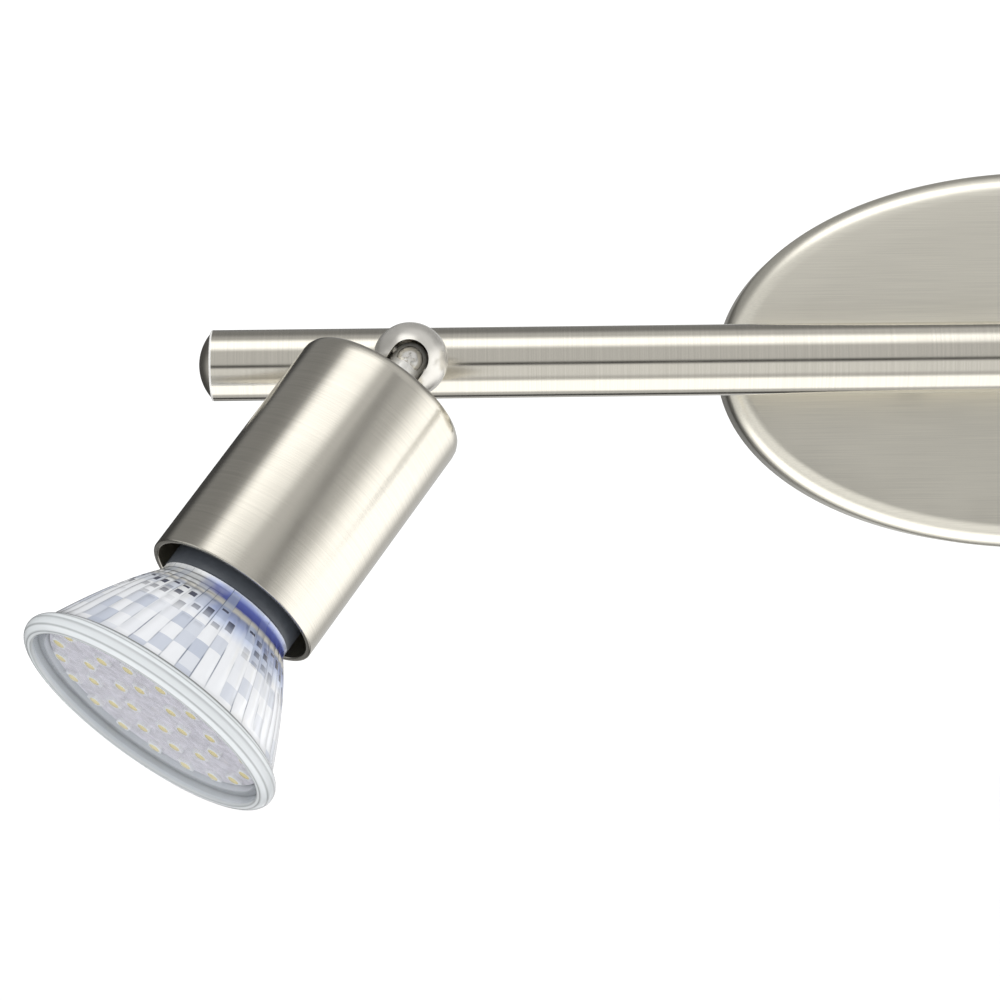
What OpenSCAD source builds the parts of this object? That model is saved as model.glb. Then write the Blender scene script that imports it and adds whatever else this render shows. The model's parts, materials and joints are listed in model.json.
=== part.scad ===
// Two-light spot bar for a wall: an oval canopy carries a round bar on two
// hollow stems, and each end of the bar has a swivelling spot with a reflector
// lamp. X runs along the bar, Z is up, the wall is the plane Y = 0 and the
// fixture stands out from it towards -Y.

/* [Canopy] */
// Length of the oval canopy along the bar
canopy_length = 120; // [116:1:130]
// Height of the oval canopy
canopy_height = 70; // [66:1:80]
// How far the canopy stands out from the wall
canopy_depth = 20; // [19:0.5:22]
// Sheet thickness of the canopy
canopy_wall = 1.2; // [0.8:0.1:1.5]
// Radius of the canopy's rounded shoulder
canopy_shoulder = 4.5; // [3:0.5:6]

/* [Bar] */
// Outside diameter of the bar tube
bar_d = 12.8; // [12.4:0.1:13.2]
// Length of the bar tube
bar_length = 306; // [300:2:330]
// Wall thickness of the bar tube
bar_wall = 0.9; // [0.7:0.1:1]
// Distance from the wall to the bar's axis
bar_out = 38; // [37:0.5:42]
// Distance from the centre to each hollow stem
stem_x = 24; // [23:0.5:25]
// Height of each domed end cap beyond the tube
cap_rise = 2.2; // [1.5:0.1:3]

/* [Swivel] */
// Distance from the centre to each swivel
pivot_x = 116.5; // [110:0.5:120]
// Distance from the bar's axis out to the tilt pivot
pivot_out = 18.5; // [18.5:0.5:22]
// Diameter of the swivel ball
ball_d = 13.2; // [13:0.1:13.4]
// Width of the slot in the ball
slot_w = 6.8; // [6.6:0.1:7]
// Diameter of the knuckle in the slot
knuckle_d = 6.2; // [6:0.1:6.3]

/* [Shade] */
// Outside diameter of the spot's shade
shade_d = 32; // [31:0.5:34]
// Length of the shade
shade_length = 47; // [46:0.5:49]
// Wall thickness of the shade
shade_wall = 1; // [0.8:0.1:1.2]

/* [Lamp] */
// Diameter of the lamp's front rim
lamp_d = 50; // [49:0.5:51]
// Light sources in the outer ring of the lamp's board
outer_leds = 18; // [12:1:20]

/* [Aim at rest] */
// Turn of each spot from straight down towards its end of the bar
pan_rest = 36; // [0:1:60]
// Tilt of each spot from straight out
tilt_rest = 67.5; // [0:0.5:68]

/* [Hidden] */
$fn = 96;
left = -1;
right = 1;
over = 0.5; // how far a cutter runs past the face that it opens
thread_gap = 0.02; // radial gap between a thread and its hole
run_gap = 0.05; // radial gap of a running fit
face_gap = 0.1; // gap between two flat faces that turn on each other

// Canopy and bracket
oval_power = 2.06; // 2 is a true ellipse, more is squarer
oval_steps = 96;
shoulder_steps = 6;
strip_t = 1.5;
strip_w = 16;
ear_x = 53.5;
ear_reach = 13;
bend_r = 3;
side_screw_d = 4;
side_head_d = 7;
side_screw_length = 9;
side_screw_y = 9;
wall_slot_x = 36;
wall_slot_d = 5;
wall_slot_length = 12;
earth_x = 46.4;
earth_head_d = 6.4;

// Terminal block
block_w = 16;
block_h = 25;
block_t = 12;
pole_pitch = 8;
pole_bore_d = 3;
pole_d = 4.4;
pole_y = 6.5; // from the bracket's front face
terminal_screw_x = 4.5;
terminal_screw_d = 2.6;
block_screw_d = 2.5;
block_screw_z = 4;

// Stems between the canopy and the bar
stem_d = 8;
stem_bore_d = 5.2;
stem_head_d = 9.6;
stem_head_t = 1.3;
stem_head_y = 1.3; // from the bar's axis back to the head's flat
stem_nut_w = 13;
stem_nut_t = 3;
stem_tail = 2;
collar_d = 11;
saddle_gap = 0.05;

// Bar and leads
bar_r = bar_d / 2;
bar_bore_r = bar_r - bar_wall;
cap_d = 12.2;
cap_plug_length = 8;
lead_d = 1.6;
head_lead_d = 1.3;
lead_pitch = 2;
lead_sides = 8;

// Swivel
ball_r = ball_d / 2;
pivot_y = -(bar_out + pivot_out);
saddle_face = 8; // from the bar's axis to the washer's flat face
saddle_d = 11.4;
foot_y = pivot_out - saddle_face - face_gap;
foot_t = 2;
neck_d = 8.8;
spigot_d = 6;
spigot_end = pivot_out - 2;
lead_bore_d = 3.2;
clip_d = 8;
clip_t = 0.8;
clip_y = pivot_out - sqrt(pow(bar_bore_r, 2) - pow(clip_d / 2, 2)) + 0.15;
groove_d = 4.6;
tilt_limit = 69; // of the slot, a little past the knuckle's own
slot_end = 3.2; // from the knuckle's axis to the slot's flat end, at that limit
pocket_r = 3.6; // of the pocket behind the pivot
head_groove_r = 4.2;
head_groove_w = 5.2;
pivot_thread_d = 3;
pivot_tip_d = 1.6;
pivot_tip_end = 1.75;
pivot_screw_end = 6.2;

// Knuckle, along the spot's axis from the pivot
shade_rear = 8;
knuckle_collar_d = 8;
knuckle_collar_t = 1;
neck_thread_d = 5;
neck_end = 14;
grip_lean = 22.5; // turns the grip screw's head to face straight out
grip_seat = 2.3;
grip_head_d = 4.6;
grip_thread_d = 2;
grip_tip = 1.35;

// Shade and lampholder
shade_r = shade_d / 2;
shade_front = shade_rear + shade_length;
shade_edge_r = 1.5;
shade_floor = 1.2;
floor_top = shade_rear + shade_floor;
bracket_t = 1;
bracket_w = 8;
neck_nut_w = 8;
neck_nut_t = 3;
holder_rear = 17;
holder_front = 31.5;
holder_d = 24;
holder_w = 21.5;
leg_end = 25;
holder_screw_s = 20.5;
holder_screw_d = 2.4;
pin_pitch = 10;
twist = 20; // turn that frees the lamp
pin_neck_d = 2.9;
pin_head_d = 4.9;
pin_head_top = 28.2;
pin_end = 24.6;
pin_root = 35;
face_plate = 2.9; // thickness of the lampholder's front
pin_slot_w = 3.4;
pin_entry_d = 5.4;
pin_cavity_w = 5.8;
cavity_floor = 23.6;
contact_t = 0.5;

// Lamp, along the spot's axis
lamp_rear = holder_front + 0.3;
base_block_d = 23;
base_block_w = 16;
base_block_end = 42;
base_d = 25.2;
base_cone_end = 46;
base_front = 57;
base_wall = 2;
bowl_s = 60; // past its neck the bowl is a paraboloid: r^2 = bowl_r^2 + bowl_rate * (s - bowl_s)
bowl_r = 14;
bowl_rate = 20;
bowl_wall = 1.6;
bowl_front = 76.8;
bowl_steps = 16;
rim_front = 81;
rim_edge = 2;
seat_r = 22.6;
seat_s = 78.9;
collar_front = 61;
board_r = 21.2;
board_s = 76.6;
board_t = 1.2;
led_pitch = 6.3;
led_w = 2.6;
led_t = 0.9;
glass_t = 1.5;
glass_rise = 0.5;
glass_steps = 6;

// ---- places ------------------------------------------------------------

// Swivel frame: the origin is the pivot, -Y is straight out, the slot runs to -Z
module swivel_frame(side) {
    translate([side * pivot_x, pivot_y, 0])
        rotate([0, -side * pan_rest, 0])
            children();
}

// Spot frame: the origin is the pivot and +Z runs along the spot to the lamp
module spot_frame(side) {
    swivel_frame(side)
        rotate([90 + tilt_rest, 0, 0])
            children();
}

// Copies of the children on both sides of the middle plane, not mirrored
module both_sides(distance) {
    for (side = [left, right])
        translate([side * distance, 0, 0])
            children();
}

// ---- shared shapes -----------------------------------------------------

// A cylinder along Y, from y0 to y1
module rod_y(radius, y0, y1) {
    translate([0, y0, 0])
        rotate([-90, 0, 0])
            cylinder(r = radius, h = y1 - y0);
}

// A cylinder along X, centred
module rod_x(radius, length) {
    rotate([0, 90, 0])
        cylinder(r = radius, h = length, center = true);
}

// Pan-head screw with a cross recess: the head stands on Z = 0
module pan_screw(thread_d, head_d, length) {
    head_h = head_d * 0.3;
    recess_w = head_d * 0.14;
    difference() {
        union() {
            intersection() {
                translate([0, 0, head_h - head_d])
                    sphere(r = head_d);
                cylinder(d = head_d, h = head_h);
            }
            translate([0, 0, -length])
                cylinder(d = thread_d, h = length + head_h / 4);
        }
        for (turn = [0, 90])
            rotate([0, 0, turn])
                translate([0, 0, head_h])
                    cube([head_d * 0.55, recess_w, head_h], center = true);
    }
}

// Hexagon nut on Z = 0
module hex_nut(across_flats, bore_d, height) {
    difference() {
        cylinder(d = across_flats / cos(30), h = height, $fn = 6);
        translate([0, 0, -over])
            cylinder(d = bore_d, h = height + 2 * over);
    }
}

// Part of a flat ring, between two angles
module ring_sector(r0, r1, from, to, height) {
    rotate([0, 0, from])
        rotate_extrude(angle = to - from)
            translate([r0, 0])
                square([r1 - r0, height]);
}

function unit(v) = v / norm(v);

// Rounds a route's corners by cutting them, twice
function cut_corners(p) = [
    p[0],
    for (i = [0 : len(p) - 2])
        each [p[i] * 0.75 + p[i + 1] * 0.25, p[i] * 0.25 + p[i + 1] * 0.75],
    p[len(p) - 1]];

function direction(p, i) = unit(p[min(i + 1, len(p) - 1)] - p[max(i - 1, 0)]);

function lead_ring(centre, along, diameter) =
    let (u = unit(cross(along, [1, 1, 1])), v = cross(along, u))
    [for (k = [0 : lead_sides - 1])
        let (a = 360 * k / lead_sides)
        centre + diameter / 2 * (cos(a) * u + sin(a) * v)];

// An insulated lead swept along a route
module lead(route, diameter) {
    p = cut_corners(cut_corners(route));
    rings = len(p);
    points = [for (i = [0 : rings - 1]) each lead_ring(p[i], direction(p, i), diameter)];
    sides = [
        for (i = [0 : rings - 2], k = [0 : lead_sides - 1])
            let (n = (k + 1) % lead_sides, a = i * lead_sides)
            [a + k, a + n, a + lead_sides + n, a + lead_sides + k]];
    first = [for (k = [lead_sides - 1 : -1 : 0]) k];
    last = [for (k = [0 : lead_sides - 1]) (rings - 1) * lead_sides + k];
    polyhedron(points = points, faces = concat(sides, [first, last]), convexity = 6);
}

// ---- canopy and what it holds ------------------------------------------

function oval_part(v) = sign(v) * pow(abs(v), 2 / oval_power);

function oval(inset) = [
    for (i = [0 : oval_steps - 1])
        let (t = 360 * i / oval_steps)
        [(canopy_length / 2 - inset) * oval_part(cos(t)),
         (canopy_height / 2 - inset) * oval_part(sin(t))]];

module oval_slab(inset, y, thickness) {
    translate([0, y, 0])
        rotate([90, 0, 0])
            linear_extrude(thickness)
                polygon(oval(inset));
}

// Solid oval dish, from y = back out to y = -front, with a rounded shoulder
module dish(inset, back, front, shoulder) {
    slice = 0.02;
    hull() {
        oval_slab(inset, back, back + front - shoulder);
        for (k = [1 : shoulder_steps])
            let (a = 90 * k / shoulder_steps)
            oval_slab(inset + shoulder * (1 - cos(a)),
                slice - front + shoulder * (1 - sin(a)), slice);
    }
}

module canopy() {
    color("darkgray")
        difference() {
            dish(0, 0, canopy_depth, canopy_shoulder);
            dish(canopy_wall, over, canopy_depth - canopy_wall,
                canopy_shoulder - canopy_wall);
            both_sides(stem_x)
                rod_y(stem_d / 2 + face_gap, -canopy_depth - over,
                    canopy_wall + over - canopy_depth);
            translate([0, -side_screw_y, 0])
                rod_x(side_screw_d / 2 + face_gap, canopy_length + 2 * over);
        }
}

module bracket_bend(side) {
    mirror([side == left ? 1 : 0, 0, 0])
        translate([ear_x - bend_r, -bend_r, -strip_w / 2])
            intersection() {
                difference() {
                    cylinder(r = bend_r, h = strip_w);
                    translate([0, 0, -over])
                        cylinder(r = bend_r - strip_t, h = strip_w + 2 * over);
                }
                cube([bend_r, bend_r, strip_w]);
            }
}

module wall_slot() {
    reach = (wall_slot_length - wall_slot_d) / 2;
    translate([0, -strip_t / 2, 0])
        cube([2 * reach, strip_t + 2 * over, wall_slot_d], center = true);
    both_sides(reach)
        rod_y(wall_slot_d / 2, -strip_t - over, over);
}

module wall_bracket() {
    ear_length = ear_reach - bend_r;
    color("silver")
        difference() {
            union() {
                translate([bend_r - ear_x, -strip_t, -strip_w / 2])
                    cube([2 * (ear_x - bend_r), strip_t, strip_w]);
                for (side = [left, right])
                    bracket_bend(side);
                both_sides(ear_x - strip_t / 2)
                    translate([-strip_t / 2, -ear_reach, -strip_w / 2])
                        cube([strip_t, ear_length, strip_w]);
            }
            both_sides(wall_slot_x)
                wall_slot();
            translate([0, -side_screw_y, 0])
                rod_x(side_screw_d / 2 + thread_gap, 2 * ear_x + 2 * over);
            translate([earth_x, 0, 0])
                rod_y(side_screw_d / 2 + thread_gap, -strip_t - over, over);
            for (z = [-block_screw_z, block_screw_z])
                translate([0, 0, z])
                    rod_y(block_screw_d / 2 + thread_gap, -strip_t - over, over);
        }
}

module canopy_screws() {
    color("gainsboro")
        for (turn = [0, 180])
            rotate([0, 0, turn])
                translate([canopy_length / 2 + thread_gap, turn == 0 ? -side_screw_y : side_screw_y, 0])
                    rotate([0, 90, 0])
                        pan_screw(side_screw_d, side_head_d, side_screw_length);
}

// Faces -Y from the bracket
module on_bracket(x, z, y) {
    translate([x, -strip_t - y, z])
        rotate([90, 0, 0])
            children();
}

module terminal_block() {
    color("ivory")
        difference() {
            translate([-block_w / 2, -strip_t - block_t, -block_h / 2])
                cube([block_w, block_t, block_h]);
            for (z = [-pole_pitch, 0, pole_pitch]) {
                translate([0, -strip_t - pole_y, z])
                    rod_x(pole_d / 2 + thread_gap, block_w + 2 * over);
                both_sides(terminal_screw_x)
                    on_bracket(0, z, pole_y)
                        cylinder(d = pole_d - 0.4, h = block_t);
            }
            for (z = [-block_screw_z, block_screw_z])
                translate([0, 0, z])
                    rod_y(block_screw_d / 2 + thread_gap, -strip_t - block_t - over, over);
            for (z = [-1.5, -0.5, 0.5, 1.5])
                translate([0, -strip_t - block_t, z * pole_pitch])
                    cube([block_w + 2 * over, 4, 1], center = true);
        }
}

module terminal_tubes() {
    color("goldenrod")
        for (z = [-pole_pitch, 0, pole_pitch])
            difference() {
                translate([0, -strip_t - pole_y, z])
                    rod_x(pole_d / 2, block_w - 2);
                translate([0, -strip_t - pole_y, z])
                    rod_x(pole_bore_d / 2, block_w);
                both_sides(terminal_screw_x)
                    on_bracket(0, z, pole_y)
                        cylinder(d = terminal_screw_d + 2 * thread_gap, h = pole_d);
            }
}

module terminal_screws() {
    color("goldenrod")
        for (z = [-pole_pitch, 0, pole_pitch])
            both_sides(terminal_screw_x)
                on_bracket(0, z, pole_y + pole_d / 2 - 0.8)
                    difference() {
                        cylinder(d = terminal_screw_d, h = 4);
                        translate([0, 0, 4])
                            cube([terminal_screw_d * 2, 0.5, 1.4], center = true);
                    }
}

module block_screws() {
    color("gainsboro")
        for (z = [-block_screw_z, block_screw_z])
            on_bracket(0, z, block_t + thread_gap)
                pan_screw(block_screw_d, 2.9, block_t + strip_t);
}

module earth_screw() {
    color("gainsboro")
        on_bracket(earth_x, 0, thread_gap)
            pan_screw(side_screw_d, earth_head_d, strip_t);
}

// ---- bar and stems -----------------------------------------------------

module bar_cylinder(radius, length) {
    translate([0, -bar_out, 0])
        rod_x(radius, length);
}

module spacer_collars() {
    color("lightgray")
        both_sides(stem_x)
            difference() {
                rod_y(collar_d / 2, -bar_out, -canopy_depth);
                rod_y(stem_d / 2 + run_gap, -bar_out - over, over - canopy_depth);
                bar_cylinder(bar_r + saddle_gap, 2 * collar_d);
            }
}

module hollow_stems() {
    head_back = stem_head_y + stem_head_t - bar_out;
    stem_end = stem_nut_t + stem_tail + canopy_wall - canopy_depth;
    color("darkkhaki")
        both_sides(stem_x)
            difference() {
                union() {
                    rod_y(stem_d / 2, head_back - stem_head_t, stem_end);
                    rod_y(stem_head_d / 2, head_back - stem_head_t, head_back);
                }
                rod_y(stem_bore_d / 2, head_back - stem_head_t - over, stem_end + over);
            }
}

module stem_nuts() {
    color("silver")
        both_sides(stem_x)
            translate([0, canopy_wall - canopy_depth + thread_gap, 0])
                rotate([-90, 0, 0])
                    hex_nut(stem_nut_w, stem_d + 2 * thread_gap, stem_nut_t);
}

module bar_tube() {
    color("silver")
        difference() {
            bar_cylinder(bar_r, bar_length);
            bar_cylinder(bar_bore_r, bar_length + 2 * over);
            both_sides(stem_x)
                rod_y(stem_d / 2 + run_gap, -bar_out, bar_r + over - bar_out);
            both_sides(pivot_x)
                rod_y(spigot_d / 2 + run_gap, -bar_out - bar_r - over, -bar_out);
        }
}

module end_cap(side) {
    dome_r = (pow(cap_d / 2, 2) + pow(cap_rise, 2)) / (2 * cap_rise);
    color("dimgray")
        translate([side * (bar_length / 2 + thread_gap), -bar_out, 0])
            rotate([0, side * 90, 0])
                union() {
                    intersection() {
                        translate([0, 0, cap_rise - dome_r])
                            sphere(r = dome_r);
                        cylinder(d = cap_d, h = cap_rise);
                    }
                    translate([0, 0, -cap_plug_length])
                        cylinder(r = bar_bore_r - thread_gap, h = cap_plug_length + 0.3);
                }
}

// Two leads from the terminal block, through a stem and along the bar
module bar_leads(side) {
    lead_end_x = pivot_x - 0.5;
    run_y = 1.5 - bar_out;
    entry_y = -strip_t - pole_y;
    color("white")
        for (lane = [-1, 1])
            let (z = lane * lead_pitch / 2)
            lead([
                [side * 3, entry_y, lane * pole_pitch],
                [side * (block_w / 2 + 3), entry_y, lane * pole_pitch],
                [side * (stem_x - 6), entry_y, z + lane * 2],
                [side * stem_x, entry_y - 1, z],
                [side * stem_x, -canopy_depth, z],
                [side * stem_x, -bar_out + 5, z],
                [side * stem_x, run_y - 3.2, z],
                [side * (stem_x + 6), run_y - 3.2, z],
                [side * (lead_end_x - 12), run_y - 3.2, z],
                [side * (lead_end_x - 4), run_y, z],
                [side * lead_end_x, run_y, z]], lead_d);
}

// ---- swivel ------------------------------------------------------------

module saddle_washer(side) {
    color("silver")
        translate([side * pivot_x, 0, 0])
            difference() {
                rod_y(saddle_d / 2, -bar_out - saddle_face, -bar_out);
                rod_y(spigot_d / 2 + run_gap, -bar_out - saddle_face - over, over - bar_out);
                bar_cylinder(bar_r + saddle_gap, 2 * saddle_d);
            }
}

// The way that the knuckle sweeps, with a round end straight out from the pivot
module knuckle_slot() {
    reach = ball_d;
    half_limit = tilt_limit / 2;
    beyond = slot_end * [sin(tilt_limit), -cos(tilt_limit)];
    rod_y(slot_w / 2, -reach, -pocket_r / 3);
    rotate([90, 0, 90])
        linear_extrude(slot_w, center = true)
            polygon([
                [0, 0],
                [-reach, 0],
                reach * [-cos(half_limit), -sin(half_limit)],
                reach * [-cos(tilt_limit), -sin(tilt_limit)] + beyond,
                beyond]);
    rod_x(pocket_r, slot_w);
    rod_x(head_groove_r, head_groove_w);
}

module swivel_ball(side) {
    color("silver")
        swivel_frame(side)
            difference() {
                union() {
                    sphere(r = ball_r);
                    rod_y(neck_d / 2, 0, foot_y);
                    rod_y(saddle_d / 2, foot_y - foot_t, foot_y);
                    rod_y(spigot_d / 2, foot_y - over, spigot_end);
                }
                knuckle_slot();
                rod_y(lead_bore_d / 2, 0, spigot_end + over);
                rod_x(pivot_thread_d / 2 + thread_gap, 2 * ball_d);
                difference() {
                    rod_y(spigot_d, clip_y - thread_gap, clip_y + clip_t + thread_gap);
                    rod_y(groove_d / 2, clip_y - over, clip_y + clip_t + over);
                }
            }
}

module swivel_clip(side) {
    opening = groove_d * 0.8;
    color("goldenrod")
        swivel_frame(side)
            difference() {
                rod_y(clip_d / 2, clip_y, clip_y + clip_t);
                rod_y(groove_d / 2 + thread_gap, clip_y - over, clip_y + clip_t + over);
                translate([-opening / 2, clip_y - over, 0])
                    cube([opening, clip_t + 2 * over, clip_d]);
            }
}

module pivot_screws(side) {
    color("gray")
        swivel_frame(side)
            for (turn = [0, 180])
                rotate([0, 0, turn])
                    rotate([0, 90, 0])
                        difference() {
                            union() {
                                translate([0, 0, slot_w / 2 + 0.05])
                                    cylinder(d = pivot_thread_d,
                                        h = pivot_screw_end - slot_w / 2 - 0.05);
                                translate([0, 0, pivot_tip_end])
                                    cylinder(d = pivot_tip_d,
                                        h = slot_w / 2 - pivot_tip_end + over);
                            }
                            translate([0, 0, pivot_screw_end])
                                cube([0.5, 2 * pivot_thread_d, 1.6], center = true);
                        }
}

// ---- spot --------------------------------------------------------------

module grip_direction() {
    rotate([grip_lean - 90, 0, 0])
        children();
}

module knuckle(side) {
    color("silver")
        spot_frame(side)
            difference() {
                rotate_extrude() {
                    intersection() {
                        circle(d = knuckle_d);
                        translate([0, -knuckle_d])
                            square(2 * knuckle_d);
                    }
                    square([knuckle_d / 2, shade_rear]);
                    translate([0, shade_rear - knuckle_collar_t])
                        square([knuckle_collar_d / 2, knuckle_collar_t]);
                    square([neck_thread_d / 2, neck_end]);
                }
                translate([0, 0, -knuckle_d])
                    cylinder(d = lead_bore_d, h = knuckle_d + neck_end + over);
                rod_x(pivot_tip_d / 2 + run_gap, 2 * knuckle_d);
                grip_direction() {
                    cylinder(d = grip_thread_d + 2 * thread_gap, h = knuckle_d);
                    translate([0, 0, grip_seat])
                        cylinder(d = grip_head_d + 0.1, h = knuckle_d);
                }
            }
}

module grip_screw(side) {
    color("gainsboro")
        spot_frame(side)
            grip_direction()
                translate([0, 0, grip_seat + thread_gap])
                    pan_screw(grip_thread_d, grip_head_d, grip_seat - grip_tip);
}

module neck_nut(side) {
    color("silver")
        spot_frame(side)
            translate([0, 0, floor_top + bracket_t + thread_gap])
                hex_nut(neck_nut_w, neck_thread_d + 2 * thread_gap, neck_nut_t);
}

module shade(side) {
    inside_r = shade_r - shade_wall;
    color("lightgray")
        spot_frame(side)
            rotate_extrude()
                difference() {
                    union() {
                        translate([0, shade_rear + shade_edge_r])
                            square([shade_r, shade_length - shade_edge_r]);
                        translate([0, shade_rear])
                            square([shade_r - shade_edge_r, shade_length]);
                        translate([shade_r - shade_edge_r, shade_rear + shade_edge_r])
                            circle(r = shade_edge_r);
                    }
                    translate([0, floor_top])
                        square([inside_r, shade_length]);
                    translate([0, shade_rear - over])
                        square([neck_thread_d / 2 + run_gap, shade_floor + 2 * over]);
                }
}

module holder_bracket(side) {
    leg_x = holder_w / 2 + run_gap;
    color("silver")
        spot_frame(side)
            difference() {
                translate([0, 0, floor_top + thread_gap]) {
                    translate([-leg_x - bracket_t, -bracket_w / 2, 0])
                        cube([2 * (leg_x + bracket_t), bracket_w, bracket_t - thread_gap]);
                    both_sides(leg_x + bracket_t / 2)
                        translate([-bracket_t / 2, -bracket_w / 2, 0])
                            cube([bracket_t, bracket_w, leg_end - floor_top]);
                }
                cylinder(d = neck_thread_d + 2 * run_gap, h = leg_end);
                translate([0, 0, holder_screw_s])
                    rod_x(holder_screw_d / 2 + face_gap, 2 * holder_d);
            }
}

// Way for one pin: a cavity for its head under a narrower slot for its neck
module pin_way() {
    r = pin_pitch / 2;
    head_turn = asin(pin_cavity_w / pin_pitch);
    neck_turn = asin(pin_slot_w / pin_pitch);
    plate_rear = holder_front - face_plate;
    translate([0, 0, cavity_floor])
        ring_sector(r - pin_cavity_w / 2, r + pin_cavity_w / 2,
            -head_turn, twist + head_turn, plate_rear - cavity_floor);
    translate([0, 0, plate_rear - over])
        ring_sector(r - pin_slot_w / 2, r + pin_slot_w / 2,
            -neck_turn, twist + neck_turn, face_plate + 2 * over);
    rotate([0, 0, twist])
        translate([r, 0, plate_rear - over])
            cylinder(d = pin_entry_d, h = face_plate + 2 * over);
}

module lampholder(side) {
    color("ivory")
        spot_frame(side)
            difference() {
                intersection() {
                    translate([0, 0, holder_rear])
                        cylinder(d = holder_d, h = holder_front - holder_rear);
                    translate([0, 0, (holder_rear + holder_front) / 2])
                        cube([holder_w, holder_d, holder_front], center = true);
                }
                for (turn = [0, 180])
                    rotate([0, 0, turn]) {
                        pin_way();
                        translate([pin_pitch / 2, 0, holder_rear - over])
                            cylinder(d = 2.2, h = cavity_floor - holder_rear + 2 * over);
                        translate([7, 0, holder_screw_s])
                            rotate([0, 90, 0])
                                cylinder(d = holder_screw_d + 2 * thread_gap, h = holder_d);
                    }
            }
}

module holder_screws(side) {
    seat = holder_w / 2 + run_gap + bracket_t + thread_gap;
    color("gainsboro")
        spot_frame(side)
            for (turn = [0, 180])
                rotate([0, 0, turn])
                    translate([seat, 0, holder_screw_s])
                        rotate([0, 90, 0])
                            pan_screw(holder_screw_d, 4.6, seat - 7.3);
}

module holder_contacts(side) {
    color("goldenrod")
        spot_frame(side)
            for (turn = [0, 180])
                rotate([0, 0, turn])
                    translate([pin_pitch / 2, 0, 0]) {
                        translate([0, 0, cavity_floor + contact_t / 2 + thread_gap])
                            cube([4, 4, contact_t], center = true);
                        translate([0, 0, holder_rear + 2])
                            cylinder(d = 2, h = cavity_floor - holder_rear - 2 + contact_t / 2);
                    }
}

// Two leads from the knuckle's bore to the lampholder
module head_leads(side) {
    turn_out = neck_end + 1.2;
    color("white")
        spot_frame(side)
            for (way = [left, right])
                lead([
                    [way * 0.7, -0.5, 3],
                    [way * 0.7, -0.5, neck_end],
                    [way * 1.5, -0.5, turn_out],
                    [way * 4.4, 0, turn_out + 0.6],
                    [way * pin_pitch / 2, 0, holder_rear],
                    [way * pin_pitch / 2, 0, holder_rear + 1.9]], head_lead_d);
}

// ---- lamp --------------------------------------------------------------

function bowl(s) = max(base_d / 2, sqrt(pow(bowl_r, 2) + bowl_rate * (s - bowl_s)));

// Points of the bowl's curve from s0 to s1, moved in by a distance
function bowl_curve(s0, s1, inset) = [
    for (k = [0 : bowl_steps])
        let (s = s0 + (s1 - s0) * k / bowl_steps)
        [bowl(s) - inset, s]];

function reversed(p) = [for (i = [len(p) - 1 : -1 : 0]) p[i]];

module base_block(diameter, width, from, to) {
    intersection() {
        translate([0, 0, from])
            cylinder(d = diameter, h = to - from);
        translate([0, 0, (from + to) / 2])
            cube([diameter, width, to - from], center = true);
    }
}

module lamp_base(side) {
    color("slategray")
        spot_frame(side)
            difference() {
                union() {
                    base_block(base_block_d, base_block_w, lamp_rear, base_block_end);
                    rotate_extrude()
                        polygon([
                            [0, base_block_end - 0.01],
                            [base_block_d / 2, base_block_end - 0.01],
                            [base_d / 2, base_cone_end],
                            [base_d / 2, base_front],
                            [0, base_front]]);
                }
                base_block(base_block_d - 2 * base_wall, base_block_w - 2 * base_wall,
                    lamp_rear + base_wall, base_cone_end + over);
                translate([0, 0, base_cone_end])
                    cylinder(d = base_d - 2 * base_wall, h = base_front);
                for (turn = [0, 180])
                    rotate([0, 0, turn])
                        translate([pin_pitch / 2, 0, lamp_rear - over])
                            cylinder(d = pin_neck_d + 2 * thread_gap, h = base_wall + 2 * over);
            }
}

module lamp_pins(side) {
    color("silver")
        spot_frame(side)
            for (turn = [0, 180])
                rotate([0, 0, turn])
                    translate([pin_pitch / 2, 0, pin_end]) {
                        cylinder(d = pin_neck_d, h = pin_root - pin_end);
                        cylinder(d = pin_head_d, h = pin_head_top - pin_end);
                    }
}

module driver_board(side) {
    color("seagreen")
        spot_frame(side) {
            translate([-8, -0.6, pin_root + 0.5])
                cube([16, 1.2, 14]);
            translate([-3.5, 0, 43])
                rotate([-90, 0, 0])
                    cylinder(d = 6, h = 5);
            translate([1.2, -4.6, 39])
                cube([5, 4.4, 5]);
        }
}

module lamp_collar(side) {
    inset = bowl_wall + face_gap;
    color("darkslategray")
        spot_frame(side)
            rotate_extrude()
                polygon(concat(
                    bowl_curve(base_front + 0.3, collar_front, inset),
                    reversed(bowl_curve(base_front + 0.3, collar_front, inset + 1))));
}

module reflector(side) {
    rim_r = lamp_d / 2;
    color("lightcyan", 0.6)
        spot_frame(side)
            rotate_extrude()
                polygon(concat(
                    bowl_curve(base_front + thread_gap, bowl_front, 0),
                    [[rim_r - rim_edge / 2, bowl_front + 0.3]],
                    [[rim_r, bowl_front + rim_edge]],
                    [for (a = [0 : 22.5 : 90])
                        [rim_r - rim_edge * (1 - cos(a)), rim_front - rim_edge * (1 - sin(a))]],
                    [[seat_r, rim_front], [seat_r, seat_s], [bowl(bowl_front) - bowl_wall, seat_s]],
                    reversed(bowl_curve(base_front + thread_gap, bowl_front, bowl_wall))));
}

module led_board(side) {
    color("whitesmoke")
        spot_frame(side)
            translate([0, 0, board_s])
                cylinder(r = board_r, h = board_t);
}

// Three rings of light sources, each a third fewer than the one outside it
module leds(side) {
    color("gold")
        spot_frame(side)
            for (ring = [1, 2, 3])
                let (count = ring * outer_leds / 3, r = ring * led_pitch)
                for (k = [0 : count - 1])
                    rotate([0, 0, 360 * k / count])
                        translate([r, 0, board_s + board_t + led_t / 2])
                            cube([led_w, led_w, led_t], center = true);
}

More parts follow.
